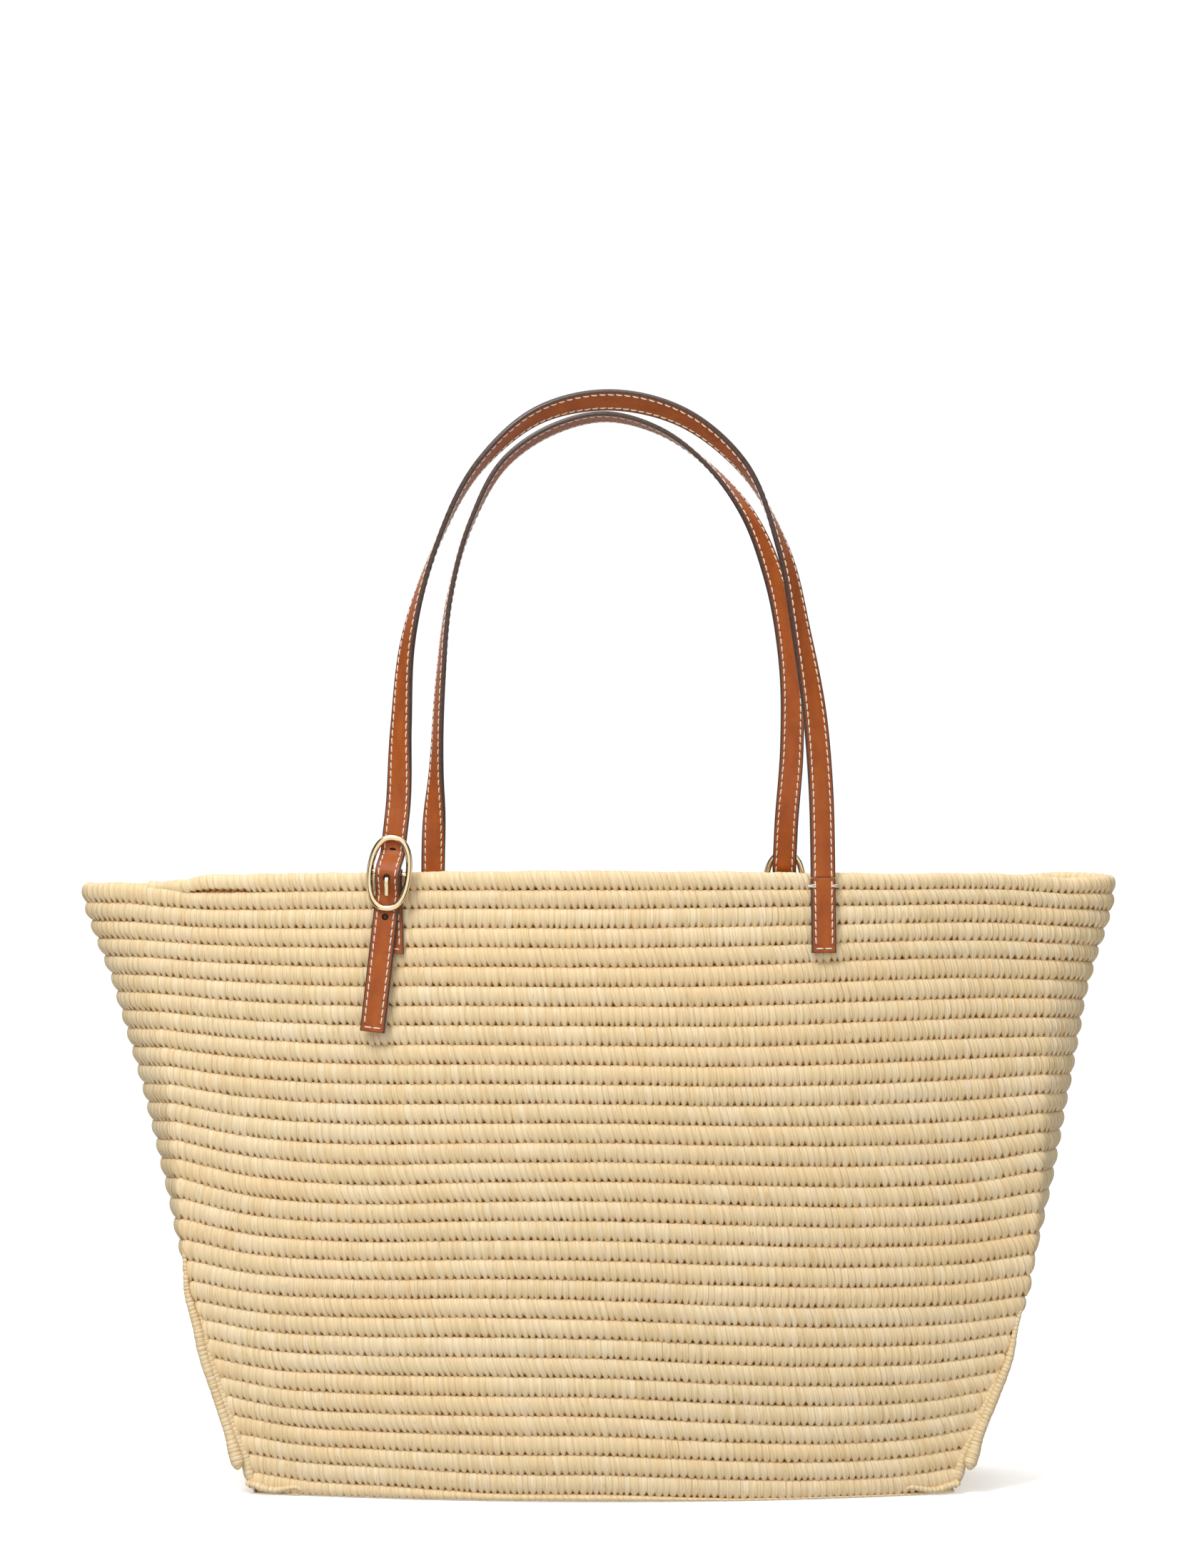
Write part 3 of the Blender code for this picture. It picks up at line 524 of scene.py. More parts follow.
def section(z):
    """The wall's outer outline at a height: corner x, corner depth, middle depth and the ends' bulge."""
    share = np.clip(z / BODY_HEIGHT, 0, 1)
    half_width = blend(BASE_HALF_WIDTH, RIM_HALF_WIDTH, np.interp(z, TABLE_Z, PROFILE))
    bulge = blend(BASE_END_HOLLOW, RIM_END_ROUND, smoothstep(0, 1, share))
    inset = PIPING_SINK * (1 - smoothstep(SHORT_PIPING_TOP, LONG_PIPING_TOP, z)) * smoothstep(0.008, 0.020, z)
    corner_x = half_width - np.maximum(bulge, 0) - inset
    corner_y = blend(BASE_CORNER_DEPTH, RIM_CORNER_DEPTH, share)
    middle_y = blend(BASE_HALF_DEPTH, RIM_HALF_DEPTH, share) + MIDDLE_SWELL * 4 * share * (1 - share)
    return corner_x, corner_y, middle_y, bulge


def side_shift(z):
    return np.interp(z / BODY_HEIGHT, *np.array(SIDE_PROFILE).T)


def wall_points(wall, along, z, depth):
    """Points of the wall for arrays of wall index, place along it and height, depth inside its outer face."""
    corner_x, corner_y, middle_y, bulge = section(z)
    on_face = wall % 2 == 0
    x_face = along * (corner_x - depth)
    y_face = -(corner_y - depth + (middle_y - corner_y) * (1 - along * along))
    x_end = corner_x - depth + bulge * (1 - along * along)
    y_end = along * (corner_y - depth)
    x = np.where(on_face, x_face, x_end)
    y = np.where(on_face, y_face, y_end)
    flip = np.where((wall == 1) | (wall == 2), -1.0, 1.0)
    return np.stack([x * flip + side_shift(z), y * flip, z + 0 * x], -1)


def one_turn():
    """Wall and place along it at each step of a round, from the coil's end round by the left."""
    seam = COIL_END_INSET / section(np.array(BODY_HEIGHT))[0] - 1
    walls = []
    places = []
    stretches = ((0, seam, -1, 30), (1, 1, -1, 60), (2, 1, -1, 400), (3, 1, -1, 60), (0, 1, seam, 370))
    for wall, start, stop, count in stretches:
        walls.append(np.full(count, wall))
        places.append(np.linspace(start, stop, count, endpoint=False))
    return np.concatenate(walls), np.concatenate(places)


def smooth_table(places, values, at):
    """Values between table places by a smooth curve."""
    index = np.clip(np.searchsorted(places, at, side="right") - 1, 0, len(places) - 2)
    gaps = np.diff(places)
    slopes = np.diff(values) / gaps
    tangents = np.concatenate([slopes[:1], (slopes[1:] + slopes[:-1]) / 2, slopes[-1:]])
    return hermite(values, tangents, index, (at - places[index]) / gaps[index], gaps[index])


WAVE_GRID_PLACES = np.linspace(-1, 1, 161)
WAVE_GRID = np.stack([smooth_table(np.array(WAVE_PLACES), np.array(row), WAVE_GRID_PLACES) for row in ROW_WAVE])
WAVE_GRID = WAVE_GRID / 1000


def row_wave(wall, along, z):
    """How far a row strays from its even height at a place. The ends carry the corners' values across."""
    level = np.interp(z, WAVE_HEIGHTS, np.arange(len(WAVE_HEIGHTS)))
    low = np.floor(level).astype(int)
    high = np.minimum(low + 1, len(WAVE_HEIGHTS) - 1)
    last = len(WAVE_GRID_PLACES) - 1

    def read(places):
        column = np.interp(places, WAVE_GRID_PLACES, np.arange(last + 1.0))
        left = np.floor(column).astype(int)
        right = np.minimum(left + 1, last)
        mix = column - left
        first, second = (WAVE_GRID[row, left] * (1 - mix) + WAVE_GRID[row, right] * mix for row in (low, high))
        return first * (1 - (level - low)) + second * (level - low)

    ends = read(-np.ones_like(along)) * (1 + along) / 2 + read(np.ones_like(along)) * (1 - along) / 2
    return np.where(wall % 2 == 0, read(along), ends)


def row_height(turn, wall, along, lap):
    """Height of the boundary under a round. turn counts laid rounds from the base, lap is a round's length."""
    z = ROW_START + ROW_PITCH * turn
    z = z + row_wave(wall, along, z)
    before_end = (COIL_ROUNDS + 1 - turn) * lap
    z = z - 0.0035 * np.exp(-np.abs(before_end) / 0.05) * smoothstep(COIL_ROUNDS, COIL_ROUNDS + 0.1, turn)
    before_last = (COIL_ROUNDS - turn) * lap
    under = np.exp(-np.abs(before_last) / 0.04) * smoothstep(-0.012, 0.006, before_last)
    return z - 0.0022 * under


def coil_line():
    """The coil's centre line over all its rounds at even steps, with what its surface needs at each."""
    wall_one, along_one = one_turn()
    count = len(wall_one)
    first = wall_points(wall_one, along_one, np.full(count, BODY_HEIGHT * 0.6), WALL / 2)
    steps = np.linalg.norm(np.roll(first, -1, 0) - first, axis=1)
    lap = steps.sum()
    share_one = np.concatenate([[0], np.cumsum(steps)[:-1]]) / lap
    laid = np.arange((COIL_ROUNDS + 1) * count + int(count * LAST_ROUND_OVERLAP))
    wall = wall_one[laid % count]
    along = along_one[laid % count]
    turn = laid // count - 1 + share_one[laid % count]
    foot = row_height(turn, wall, along, lap)
    low = np.maximum(0, foot)
    high = np.maximum(row_height(turn + 1, wall, along, lap), low + 0.0012)
    past = (turn - COIL_ROUNDS) * lap
    merge = smoothstep(-0.016, 0.020, past)
    half = blend((high - low) / 2, TIP_HALF_HEIGHT, merge)
    middle = blend((low + high) / 2, foot - 0.0012, merge)
    thick = WALL / 2 * (1 - 0.20 * merge)
    centre = wall_points(wall, along, middle, WALL / 2)
    above = np.minimum(middle + 0.004, BODY_HEIGHT)
    up = unit(wall_points(wall, along, above, WALL / 2) - wall_points(wall, along, above - 0.008, WALL / 2))
    length = run_length(centre)
    step = COIL_STEP * 1
    s = np.arange(0, length[-1], step)
    reach = max(1, int(round(0.0020 / step)))
    window = np.hanning(2 * reach + 3)[1:-1]
    window /= window.sum()

    def eased(vectors):
        padded = np.pad(read_line(s, length, vectors), ((reach, reach), (0, 0)), mode="edge")
        return np.stack([np.convolve(padded[:, axis], window, mode="valid") for axis in range(3)], -1)

    line = {"s": s, "centre": eased(centre)}
    for key, values in (("half", half), ("thick", thick), ("turn", turn), ("past", past)):
        line[key] = np.interp(s, length, values)
    ahead = unit(np.gradient(line["centre"], axis=0))
    line["out"] = unit(np.cross(eased(up), ahead))
    line["up"] = np.cross(ahead, line["out"])
    return line


def wrap_edges(s, seed):
    """Places along a coil where one wrap of leaf ends and the next starts, about four millimetres apart."""
    count = int(s.max() / WRAP_PITCH) + 20
    return np.cumsum(np.random.default_rng(seed).uniform(0.80, 1.20, count) * WRAP_PITCH) - 5 * WRAP_PITCH


def wrap_gaps(s, seed):
    """The count of wraps up to each step, how near it is to a gap from 0 to 1, and the wrap's random number."""
    edges = wrap_edges(s, seed)
    wrap = np.interp(s, edges, np.arange(len(edges)))
    near = WRAP_PITCH * (0.5 - np.abs(wrap % 1.0 - 0.5))
    draw = np.random.default_rng(seed + 500)
    tone = draw.uniform(-1, 1, len(edges) + 1)[np.floor(wrap).astype(int)]
    wide = draw.uniform(0.60, 1.0, len(edges) + 1)[np.round(wrap).astype(int)]
    return wrap, np.exp(-((near / GAP_HALF_WIDTH) ** 2)) * wide, tone


def coil_surface(line):
    """Grid of points over the coil, with the attributes its material reads."""
    angles = OUTER_ANGLES + INNER_ANGLES
    s = line["s"]
    shape = (len(s), len(angles))
    points, coil = np.zeros((2, *shape, 3))
    groove_shade_and_brown, tint, wrap, foot = np.zeros((4, *shape))
    _, gap, tone = wrap_gaps(s, 11)
    edges = wrap_edges(s, 11)
    wander = noise_line(s, 0.011, 5)
    swell = noise_line(s, 0.03, 6)
    ribs = noise_line(s, 0.0014, 8)
    stretch = noise_line(s, 0.16, 9)
    slant_here = 0.0011 + 0.0011 * noise_line(s, 0.35, 10)
    # The last round is open from the one below just before its tip.
    slit = smoothstep(-0.040, -0.034, line["past"]) * (1 - smoothstep(-0.006, 0.0, line["past"]))
    for column, degrees in enumerate(angles):
        angle = radians(degrees)
        outside = degrees <= max(OUTER_ANGLES)
        low = float(smoothstep(-22, -70, degrees)) if degrees < 95 else 0.0
        inner_low = float(smoothstep(215, 255, degrees))
        high = float(smoothstep(50, 88, degrees)) * (1 - float(smoothstep(100, 150, degrees)))
        slant = slant_here * (1 - sin(angle)) * (1 if degrees < 95 else 0)
        gap_here = np.interp(s + slant, s, gap)
        belly = cos(angle)
        x = line["thick"] * signed_power(belly, 0.80) * (1 + 0.035 * swell)
        y = line["half"] * (sin(angle) * 1.06)
        x = x - 0.0013 * gap_here * low + 0.00045 * (1 - gap_here) * low
        y = y + 0.0011 * gap_here * low**2 - 0.0007 * (1 - gap_here) * low**2
        x = x - 0.0005 * gap_here * high
        y = y + (0.00035 * wander + 0.0002 * ribs) * (low + high)
        y = y + 0.0011 * slit * (low + inner_low)
        x = x + (0.00009 * ribs + 0.00012 * tone) * (1 if belly > -0.2 else 0.4)
        points[:, column] = line["centre"] + line["out"] * x[:, None] + line["up"] * y[:, None]
        coil[:, column, 0] = s + slant
        coil[:, column, 1] = 0.0105 * degrees / 180
        coil[:, column, 2] = np.floor(line["turn"]) * 1.7
        wrap[:, column] = np.interp(s + slant, edges, np.arange(len(edges)))
        foot[:, column] = float(smoothstep(-6, -72, degrees)) if degrees < 95 else 0.0
        if outside:
            # Painted shade where this round meets the rounds above and below and in the open slit under the last
            # round's tip; the gaps between wraps at its top are brown
            row_meeting_shade = abs(sin(angle)) ** 10 * (0.42 if degrees < 95 else 0.2)
            groove_shade_and_brown[:, column] = np.clip(row_meeting_shade + 0.10 * gap_here * high + 1.2 * slit * low, 0, 1)
        else:
            # Inside, fainter painted shade where the rounds meet
            groove_shade_and_brown[:, column] = 0.25 * abs(sin(angle)) ** 6
        tint[:, column] = np.clip(0.40 + 0.9 * stretch * abs(stretch) + 0.15 * swell, 0, 1)
    points[..., 2] = np.maximum(points[..., 2], LOWEST)
    return points, {"coil": coil, "groove_shade_and_brown": groove_shade_and_brown, "tint": tint, "wrap": wrap, "low": foot}


def build_coil(material):
    """The whole basket wall as one climbing coil, cut at the rear into a piece for each round."""
    line = coil_line()
    points, attributes = coil_surface(line)
    rounds = np.floor(line["turn"] - ROUND_CUT).astype(int)
    for number, value in enumerate(sorted(set(rounds))):
        where = np.nonzero(rounds == value)[0]
        chosen = slice(where[0], min(where[-1] + 2, len(rounds)))
        here = {key: values[chosen][:, ::-1] for key, values in attributes.items()}
        obj = quad_mesh(f"coil_round_{number + 1:02d}", points[chosen][:, ::-1], attributes=here)
        dress(obj, "straw", "basket", material)
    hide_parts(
        "basket_front_wall", "basket_rear_wall", "basket_left_gusset", "basket_right_gusset", "rim_coil",
    )


def build_base(material):
    """The flat base, coiled inwards from the walls' foot to a short straight start."""
    pieces = []
    step = 0.0012 * 1
    s_before = 0.0
    inset = WALL + PITCH / 2
    t = np.linspace(0, 2 * pi, 4000, endpoint=False)
    angles = np.radians(np.arange(0, 360, 24))
    while BASE_HALF_DEPTH - inset > 0.001:
        number = len(pieces)
        x = signed_power(np.cos(t), 2 / BASE_SQUARENESS) * (BASE_HALF_WIDTH - PIPING_INSET - inset)
        y = signed_power(np.sin(t), 2 / BASE_SQUARENESS) * max(BASE_HALF_DEPTH - inset, 0.0008)
        loop = np.stack([x, y, np.full(len(t), BASE_MIDDLE_Z)], -1)
        loop = np.vstack([loop, loop[:1]])
        length = run_length(loop)
        count = int(length[-1] / step)
        s = np.linspace(0, length[-1], count, endpoint=False)
        centre = read_line(s, length, loop)
        out = np.cross(unit(np.roll(centre, -1, 0) - np.roll(centre, 1, 0)), [0, 0, 1.0])
        wrap, gap, _ = wrap_gaps(s, 40 + number)
        points, coil = np.zeros((2, count, len(angles), 3))
        groove_shade_and_brown = np.zeros((count, len(angles)))
        for column, angle in enumerate(angles):
            x_out = cos(angle) * PITCH / 2 * 1.05 - 0.0006 * gap * (cos(angle) > 0.3)
            points[:, column] = centre + out * x_out[:, None] + np.array([0, 0, sin(angle) * BASE_MIDDLE_Z])
            coil[:, column, 0] = s + s_before
            coil[:, column, 1] = 0.01 * angle / pi
            coil[:, column, 2] = number * 3.1
            # Painted shade where neighbouring rounds of the base meet, and brown at the gaps between wraps
            groove_shade_and_brown[:, column] = abs(cos(angle)) ** 8 * 0.5 + 0.5 * gap * (cos(angle) > 0.5)
        attributes = {"coil": coil, "groove_shade_and_brown": groove_shade_and_brown}
        attributes["tint"] = np.full(groove_shade_and_brown.shape, 0.5)
        attributes["wrap"] = all_round(wrap, len(angles))
        obj = quad_mesh(f"base_round_{number + 1}", points, closed=True, attributes=attributes)
        pieces.append(dress(obj, "straw", "basket", material))
        s_before += length[-1]
        inset += PITCH
    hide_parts("basket_base")


def tube(name, path, radii, sides, material, seed, flat=(1.0, 1.0)):
    """A wrapped cord of straw along a path, with its leaf strips running round it."""
    ahead = unit(np.gradient(path, axis=0))
    first = unit(np.cross(ahead, (0, 0, 1.0)))
    second = np.cross(first, ahead)
    s = run_length(path)
    wrap, gap, tone = wrap_gaps(s * CORD_WRAP_RATE, seed)
    radius = radii + 0.00012 * noise_line(s, 0.0008, seed + 1) + 0.0001 * tone - 0.00018 * gap
    points, coil = np.zeros((2, len(s), sides, 3))
    for column, angle in enumerate(np.linspace(0, 2 * pi, sides, endpoint=False)):
        wide = first * (cos(angle) * radius * flat[0])[:, None]
        points[:, column] = path + wide + second * (sin(angle) * radius * flat[1])[:, None]
        coil[:, column, 0] = s * CORD_WRAP_RATE
        coil[:, column, 1] = 0.012 * angle / pi
        coil[:, column, 2] = seed * 2.3
    points[..., 2] = np.maximum(points[..., 2], LOWEST)
    groove_shade_and_brown = all_round(0.38 * gap, sides)
    attributes = {"coil": coil[:, ::-1], "groove_shade_and_brown": groove_shade_and_brown}
    attributes["tint"] = np.full(groove_shade_and_brown.shape, 0.35)
    attributes["wrap"] = all_round(wrap, sides)
    return dress(quad_mesh(name, points[:, ::-1], attributes=attributes), "straw_binding", "basket", material)


def corner_path(side_x, side_y, z, distance):
    """A line up a corner of the wall, distance out of it."""
    corner_x, corner_y, _, _ = section(z)
    shift = distance / 2**0.5
    return np.stack([side_x * (corner_x + shift) + side_shift(z), side_y * (corner_y + shift), z], -1)


def build_piping(material):
    """Wrapped piping down each lower corner: it fades out of the wall at its top and ends in a rounded bulb."""
    for side_x, side_y, name in CORNERS:
        number = int(side_x + 2 * side_y)
        top = LONG_PIPING_TOP if side_x == side_y else SHORT_PIPING_TOP
        z = np.arange(BULB_END, top + 0.020, 0.0005)
        radius = PIPING_RADIUS * (1 - 0.55 * smoothstep(top - 0.035, top + 0.018, z))
        radius = radius + 0.0009 * np.exp(-(((z - 0.0200) / 0.010) ** 2))
        tip = np.clip((z - BULB_END) / 0.004, 0, 1)
        radius = radius * np.sqrt(np.clip(1 - (1 - tip) ** 2, 0.02, 1))
        sink = 0.0030 * smoothstep(top - 0.02, top + 0.020, z)
        out = radius * 0.35 - sink - 0.0008 + 0.0030 * np.exp(-(((z - BULB_END) / 0.016) ** 2))
        path = corner_path(side_x, side_y, z, out)
        obj = tube(f"piping_{name}", path, radius, 20, material, 21 + number)
        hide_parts(f"piping_{name}")
        z = np.arange(0.0050, top, 0.001)
        core = 0.0033 * (1 - 0.6 * smoothstep(top - 0.045, top, z))
        core = core * (1 - 0.25 * (1 - smoothstep(0.005, 0.012, z)))
        seat = corner_path(side_x, side_y, z, -0.0034 - 0.003 * smoothstep(top - 0.035, top, z))
        tube(f"piping_seat_{name}", seat, core, 14, material, 51 + number)


def build_ears(material):
    """The pinched ear at each base corner: the first round's folded end, squeezed flat and tucked under."""
    for side_x, side_y, name in CORNERS:
        t = np.linspace(0, 1, 60)
        reach = 0.5 - 0.5 * np.cos(pi * t)
        x = BASE_HALF_WIDTH + 0.0022 - 0.030 * reach
        y = BASE_CORNER_DEPTH - 0.0005 + 0.006 * reach
        z = 0.0044 - 0.0014 * t + 0.0012 * np.sin(3.1 * pi * t)
        radius = 0.0036 * (1 - 0.55 * t) * np.sqrt(np.clip(1 - (1 - np.clip(t / 0.16, 0, 1)) ** 2, 0.02, 1))
        radius *= 1 - 0.22 * np.exp(-(((t - 0.22) / 0.07) ** 2))
        path = np.stack([side_x * x, side_y * y, z], -1)
        seed = 31 + int(side_x + 2 * side_y)
        obj = tube(f"corner_ear_{name}", path, radius, 18, material, seed, (1.1, 0.72))
        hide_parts(f"corner_ear_{name}")


# ---------------------------------------------------------------- straps

def cad_section_x(z):
    """Corner x from the CAD model's straight-lined profile, so that the feet sit where its solids are."""
    share = z / BODY_HEIGHT
    half_width = blend(BASE_HALF_WIDTH, RIM_HALF_WIDTH, float(np.interp(share, *np.array(WALL_PROFILE).T)))
    return half_width - max(float(blend(BASE_END_HOLLOW, RIM_END_ROUND, smoothstep(0, 1, share))), 0)


def cad_face(along, z):
    _, corner_y, middle_y, _ = section(np.array(z))
    y = -(float(corner_y) + float(middle_y - corner_y) * (1 - along * along))
    return Vector((along * cad_section_x(z), y, z))


def foot_frame(handle, x, z, lean):
    """A frame on the outer face of the handle's wall: x across, y up the wall and z straight out of it."""
    shift = Vector((float(side_shift(z)) * cos(radians(handle["turn"])), 0, 0))
    along = (x - shift.x) / cad_section_x(z)
    step = 0.02
    across = cad_face(along + step, z) - cad_face(along - step, z)
    across.z = 0
    rise = cad_face(along, z) - cad_face(along, z - TAIL_LENGTH)
    rise.x = 0
    outward = across.cross(rise).normalized()
    across = (Matrix.Rotation(radians(lean), 3, outward) @ across).normalized()
    up = outward.cross(across)
    place = Matrix((across, up, outward)).transposed().to_4x4()
    place.translation = cad_face(along, z) + shift
    return place


def buckle_strap_out(up):
    """How far the strap's middle stands off the wall where it goes behind, over and behind the buckle."""
    share = min(1.0, abs(up) / STRAP_REACH)
    return blend(TAIL_MIDDLE, OVER_BAR, (0.5 + 0.5 * cos(pi * share)))


def spline(points, spacing):
    """A smooth curve through points whose first parts are places, sampled about every spacing."""
    places = [Vector(point[: min(3, len(point))]) for point in points]
    lengths = [(after - before).length for before, after in zip(places, places[1:])]
    slopes = [(after - before) / length for before, after, length in zip(points, points[1:], lengths)]
    tangents = [slopes[0]]
    for index in range(1, len(points) - 1):
        before, after = lengths[index - 1], lengths[index]
        tangents.append((slopes[index - 1] * after + slopes[index] * before) / (before + after))
    tangents.append(slopes[-1])
    samples = []
    for index, length in enumerate(lengths):
        steps = max(1, round(length / spacing))
        samples += [hermite(points, tangents, index, step / steps, length) for step in range(steps)]
    samples.append(points[-1].copy())
    return samples


def resampled(centres, axes, normals, spacing):
    """The same line at an even spacing, as arrays."""
    centres, axes, normals = (np.array(values, float) for values in (centres, axes, normals))
    length = run_length(centres)
    s = np.linspace(0, length[-1], max(2, int(round(length[-1] / spacing)) + 1))
    centres, axes, normals = (read_line(s, length, values) for values in (centres, axes, normals))
    return s, centres, unit(axes), unit(normals)


def arch_line(handle, buckle_place, plain_place):
    """Centres, across axes and outer normals from the buckle's flex over the top to the plain flex."""
    buckle_flex = buckle_place @ Vector((0, FLEX_ABOVE_BAR, TAIL_MIDDLE))
    plain_flex = plain_place @ Vector((0, 0, SEWN_MIDDLE))
    buckle_up, plain_up = (place.to_3x3() @ Vector((0, 1, 0)) for place in (buckle_place, plain_place))
    buckle_out, plain_out = (place.to_3x3() @ Vector((0, 0, 1)) for place in (buckle_place, plain_place))
    buckle_twist = atan2(-buckle_out.x, -buckle_out.y)
    plain_twist = atan2(plain_out.x, -plain_out.y)
    apex = max(z for _, z, _ in handle["arch"])
    start = buckle_flex + buckle_up * FLEX_GAP / 2
    stop = plain_flex + plain_up * FLEX_GAP / 2
    stations = [
        Vector((*start, buckle_twist)),
        Vector((*(start + buckle_up * FLEX_BEVEL * 2), buckle_twist)),
    ]
    for x, z, twist in handle["arch"]:
        foot = start if x < 0 else stop
        share = float(smoothstep(foot.z, apex, z))
        stations.append(Vector((x, blend(foot.y, -APEX_HALF_DEPTH, share), z, radians(twist))))
    stations.append(Vector((*(stop + plain_up * FLEX_BEVEL * 2), plain_twist)))
    stations.append(Vector((*stop, plain_twist)))
    samples = spline(stations, 0.003)
    centres = [point.to_3d() for point in samples]
    axes = []
    normals = []
    for index, sample in enumerate(samples):
        ahead = (centres[min(len(centres) - 1, index + 1)] - centres[max(0, index - 1)]).normalized()
        front = Vector((0, -1, 0))
        front = (front - ahead * front.dot(ahead)).normalized()
        normal = Matrix.Rotation(-sample.w, 3, ahead) @ front
        normals.append(normal)
        axes.append(ahead.cross(normal))
    return centres, axes, normals


def foot_line(place, path):
    """Centres, across axes and normals for (up, out) points in a foot frame."""
    centres = [place @ Vector((0, up, out)) for up, out in path]
    across = place.to_3x3() @ Vector((1, 0, 0))
    normals = []
    for index in range(len(centres)):
        ahead = centres[min(len(centres) - 1, index + 1)] - centres[max(0, index - 1)]
        normals.append(across.cross(ahead).normalized())
    return centres, [across] * len(centres), normals


def tail_path():
    """The strap's middle from the tail's end, over the bar and back to the wall, as (up, out) of the bar."""
    path = [(-TAIL_LENGTH * share, TAIL_MIDDLE) for share in (1, 0.7, 0.4)]
    for up in np.linspace(-STRAP_REACH, STRAP_REACH, 41):
        path.append((up, buckle_strap_out(up)))
    return path + [(FLEX_ABOVE_BAR - 0.006, TAIL_MIDDLE), (FLEX_ABOVE_BAR - 0.001, TAIL_MIDDLE)]


def strap_section(thickness):
    """Outline of a strap's cross section as (across, out), and 1 where the face there is painted edge."""
    half_w = STRAP_WIDTH / 2
    half_t = thickness / 2
    round_w = min(0.0009, half_t * 0.8)
    turn = 1 - EDGE_TURN / half_w
    top = []
    for x in (-1, -turn, -0.78, -0.6, -0.3, 0, 0.3, 0.6, 0.78, turn, 1):
        across = x * (half_w - round_w * 0.5)
        dip = 0.00016 * np.exp(-(((half_w - abs(across) - STITCH_INSET) / 0.0007) ** 2))
        crown = 0.00012 * (1 - x * x)
        top.append((across, half_t - 0.00012 + crown - dip))
    rounding = ((round_w * 0.12, 0.72), (0, 0.34), (0, -0.34), (round_w * 0.12, -0.72))
    edge = [(half_w - inset, half_t * share) for inset, share in rounding]
    points = top + edge + [(-x, -y) for x, y in top] + [(-x, -y) for x, y in edge]
    painted = [1] + [0] * 8 + [1] * 7 + [0] * 8 + [1] * 6
    return np.array(points), painted


def strap_mesh(name, line, thickness, looks):
    """A two-layer leather strap along a line, with rolled painted edges and sunk stitch lines."""
    s, centres, axes, normals = line
    outline, painted = strap_section(thickness)
    points = centres[:, None] + axes[:, None] * outline[None, :, :1] + normals[:, None] * outline[None, :, 1:]
    across, out = (np.repeat(values[None], len(s), 0) for values in outline.T)
    to_edge = STRAP_WIDTH / 2 - np.abs(across)
    burnish = 0.55 * np.exp(-((to_edge / 0.0009) ** 2))
    phase = (s[:, None] / STITCH_PITCH) % 1.0
    near_hole = np.exp(-((np.minimum(phase, 1 - phase) * STITCH_PITCH / 0.00045) ** 2))
    near_line = np.exp(-(((to_edge - STITCH_INSET) / 0.0006) ** 2))
    burnish = np.clip(burnish + 0.9 * near_hole * near_line, 0, 1)
    place = np.stack([all_round(s, len(outline)), across, out * 40], -1)
    # The ring is walked backwards, so the marks of its faces are, too.
    painted = painted[-2::-1] + painted[-1:]
    attributes = {"leather": place[:, ::-1], "burnish": burnish[:, ::-1]}
    obj = quad_mesh(name, points[:, ::-1], attributes=attributes, painted=painted)
    obj.data.materials.append(looks["leather"])
    obj.data.materials.append(looks["edge"])
    return obj


def stitch_template():
    """One stitch: a short thread that rises out of one hole and dives into the next, along +X."""
    rings = []
    for t in np.linspace(0, 1, 9):
        rise = sin(pi * t) ** 0.5 if 0 < t < 1 else 0
        size = STITCH_RADIUS * (0.55 + 0.45 * rise)
        centre = np.array([(t - 0.5) * STITCH_LENGTH, 0, 0.0002 * rise - 0.0003 * (1 - rise)])
        angles = np.linspace(0, 2 * pi, 8, endpoint=False)
        rings.append([centre + size * np.array([0, cos(angle), sin(angle)]) for angle in angles])
    return np.array(rings)


STITCH = stitch_template()


def stitches_mesh(name, frames, looks):
    """One mesh of stitches at (centre, ahead, across, out) frames."""
    faces, _ = grid_faces(*STITCH.shape[:2], closed=False)
    base = STITCH.reshape(-1, 3)
    centre, ahead, across, out = (np.array(values, float) for values in zip(*frames))
    points = (
        centre[:, None]
        + ahead[:, None] * base[None, :, :1]
        + across[:, None] * base[None, :, 1:2]
        + out[:, None] * base[None, :, 2:]
    )
    count = len(frames)
    faces = (faces[None, :, ::-1] + (np.arange(count) * len(base))[:, None, None]).reshape(-1, 4)
    twist = np.tile(base, (count, 1))[None]
    obj = new_object(name, points, faces.reshape(-1), np.arange(len(faces)) * 4, {"twist": twist})
    obj.data.materials.append(looks["thread"])
    return obj


def stitch_frames(line, thickness, sides=(1,), stop=None):
    """Frames for two rows of stitches on a strap's outer (1) or inner (-1) side, and two across its start."""
    s, centres, axes, normals = line
    ahead = unit(np.gradient(centres, axis=0))
    top = thickness / 2 - STITCH_SINK
    tilt = radians(STITCH_SLANT)
    frames = []
    first = np.ceil(END_STITCH / STITCH_PITCH) + 0.5
    last = (s[-1] if stop is None else stop) / STITCH_PITCH - 0.3
    for place in np.arange(first, last) * STITCH_PITCH:
        centre, axis, normal, along = (read_line(place, s, values) for values in (centres, axes, normals, ahead))
        for side in sides:
            for row in (-1, 1):
                at = centre + axis * row * (STRAP_WIDTH / 2 - STITCH_INSET) + normal * side * top
                lean = along * cos(tilt) + axis * sin(tilt) * row * side
                frames.append((at, lean, np.cross(normal * side, lean), normal * side))
    centre, axis, normal = (read_line(END_STITCH, s, values) for values in (centres, axes, normals))
    for shift in (-0.26, 0.26):
        at = centre + axis * shift * (STRAP_WIDTH - 2 * STITCH_INSET) + normal * top
        frames.append((at, axis * 1.15, np.cross(normal, axis), normal))
    return frames


def turn_side(obj, handle):
    obj.data.transform(Matrix.Rotation(radians(handle["turn"]), 4, "Z"))
    return obj


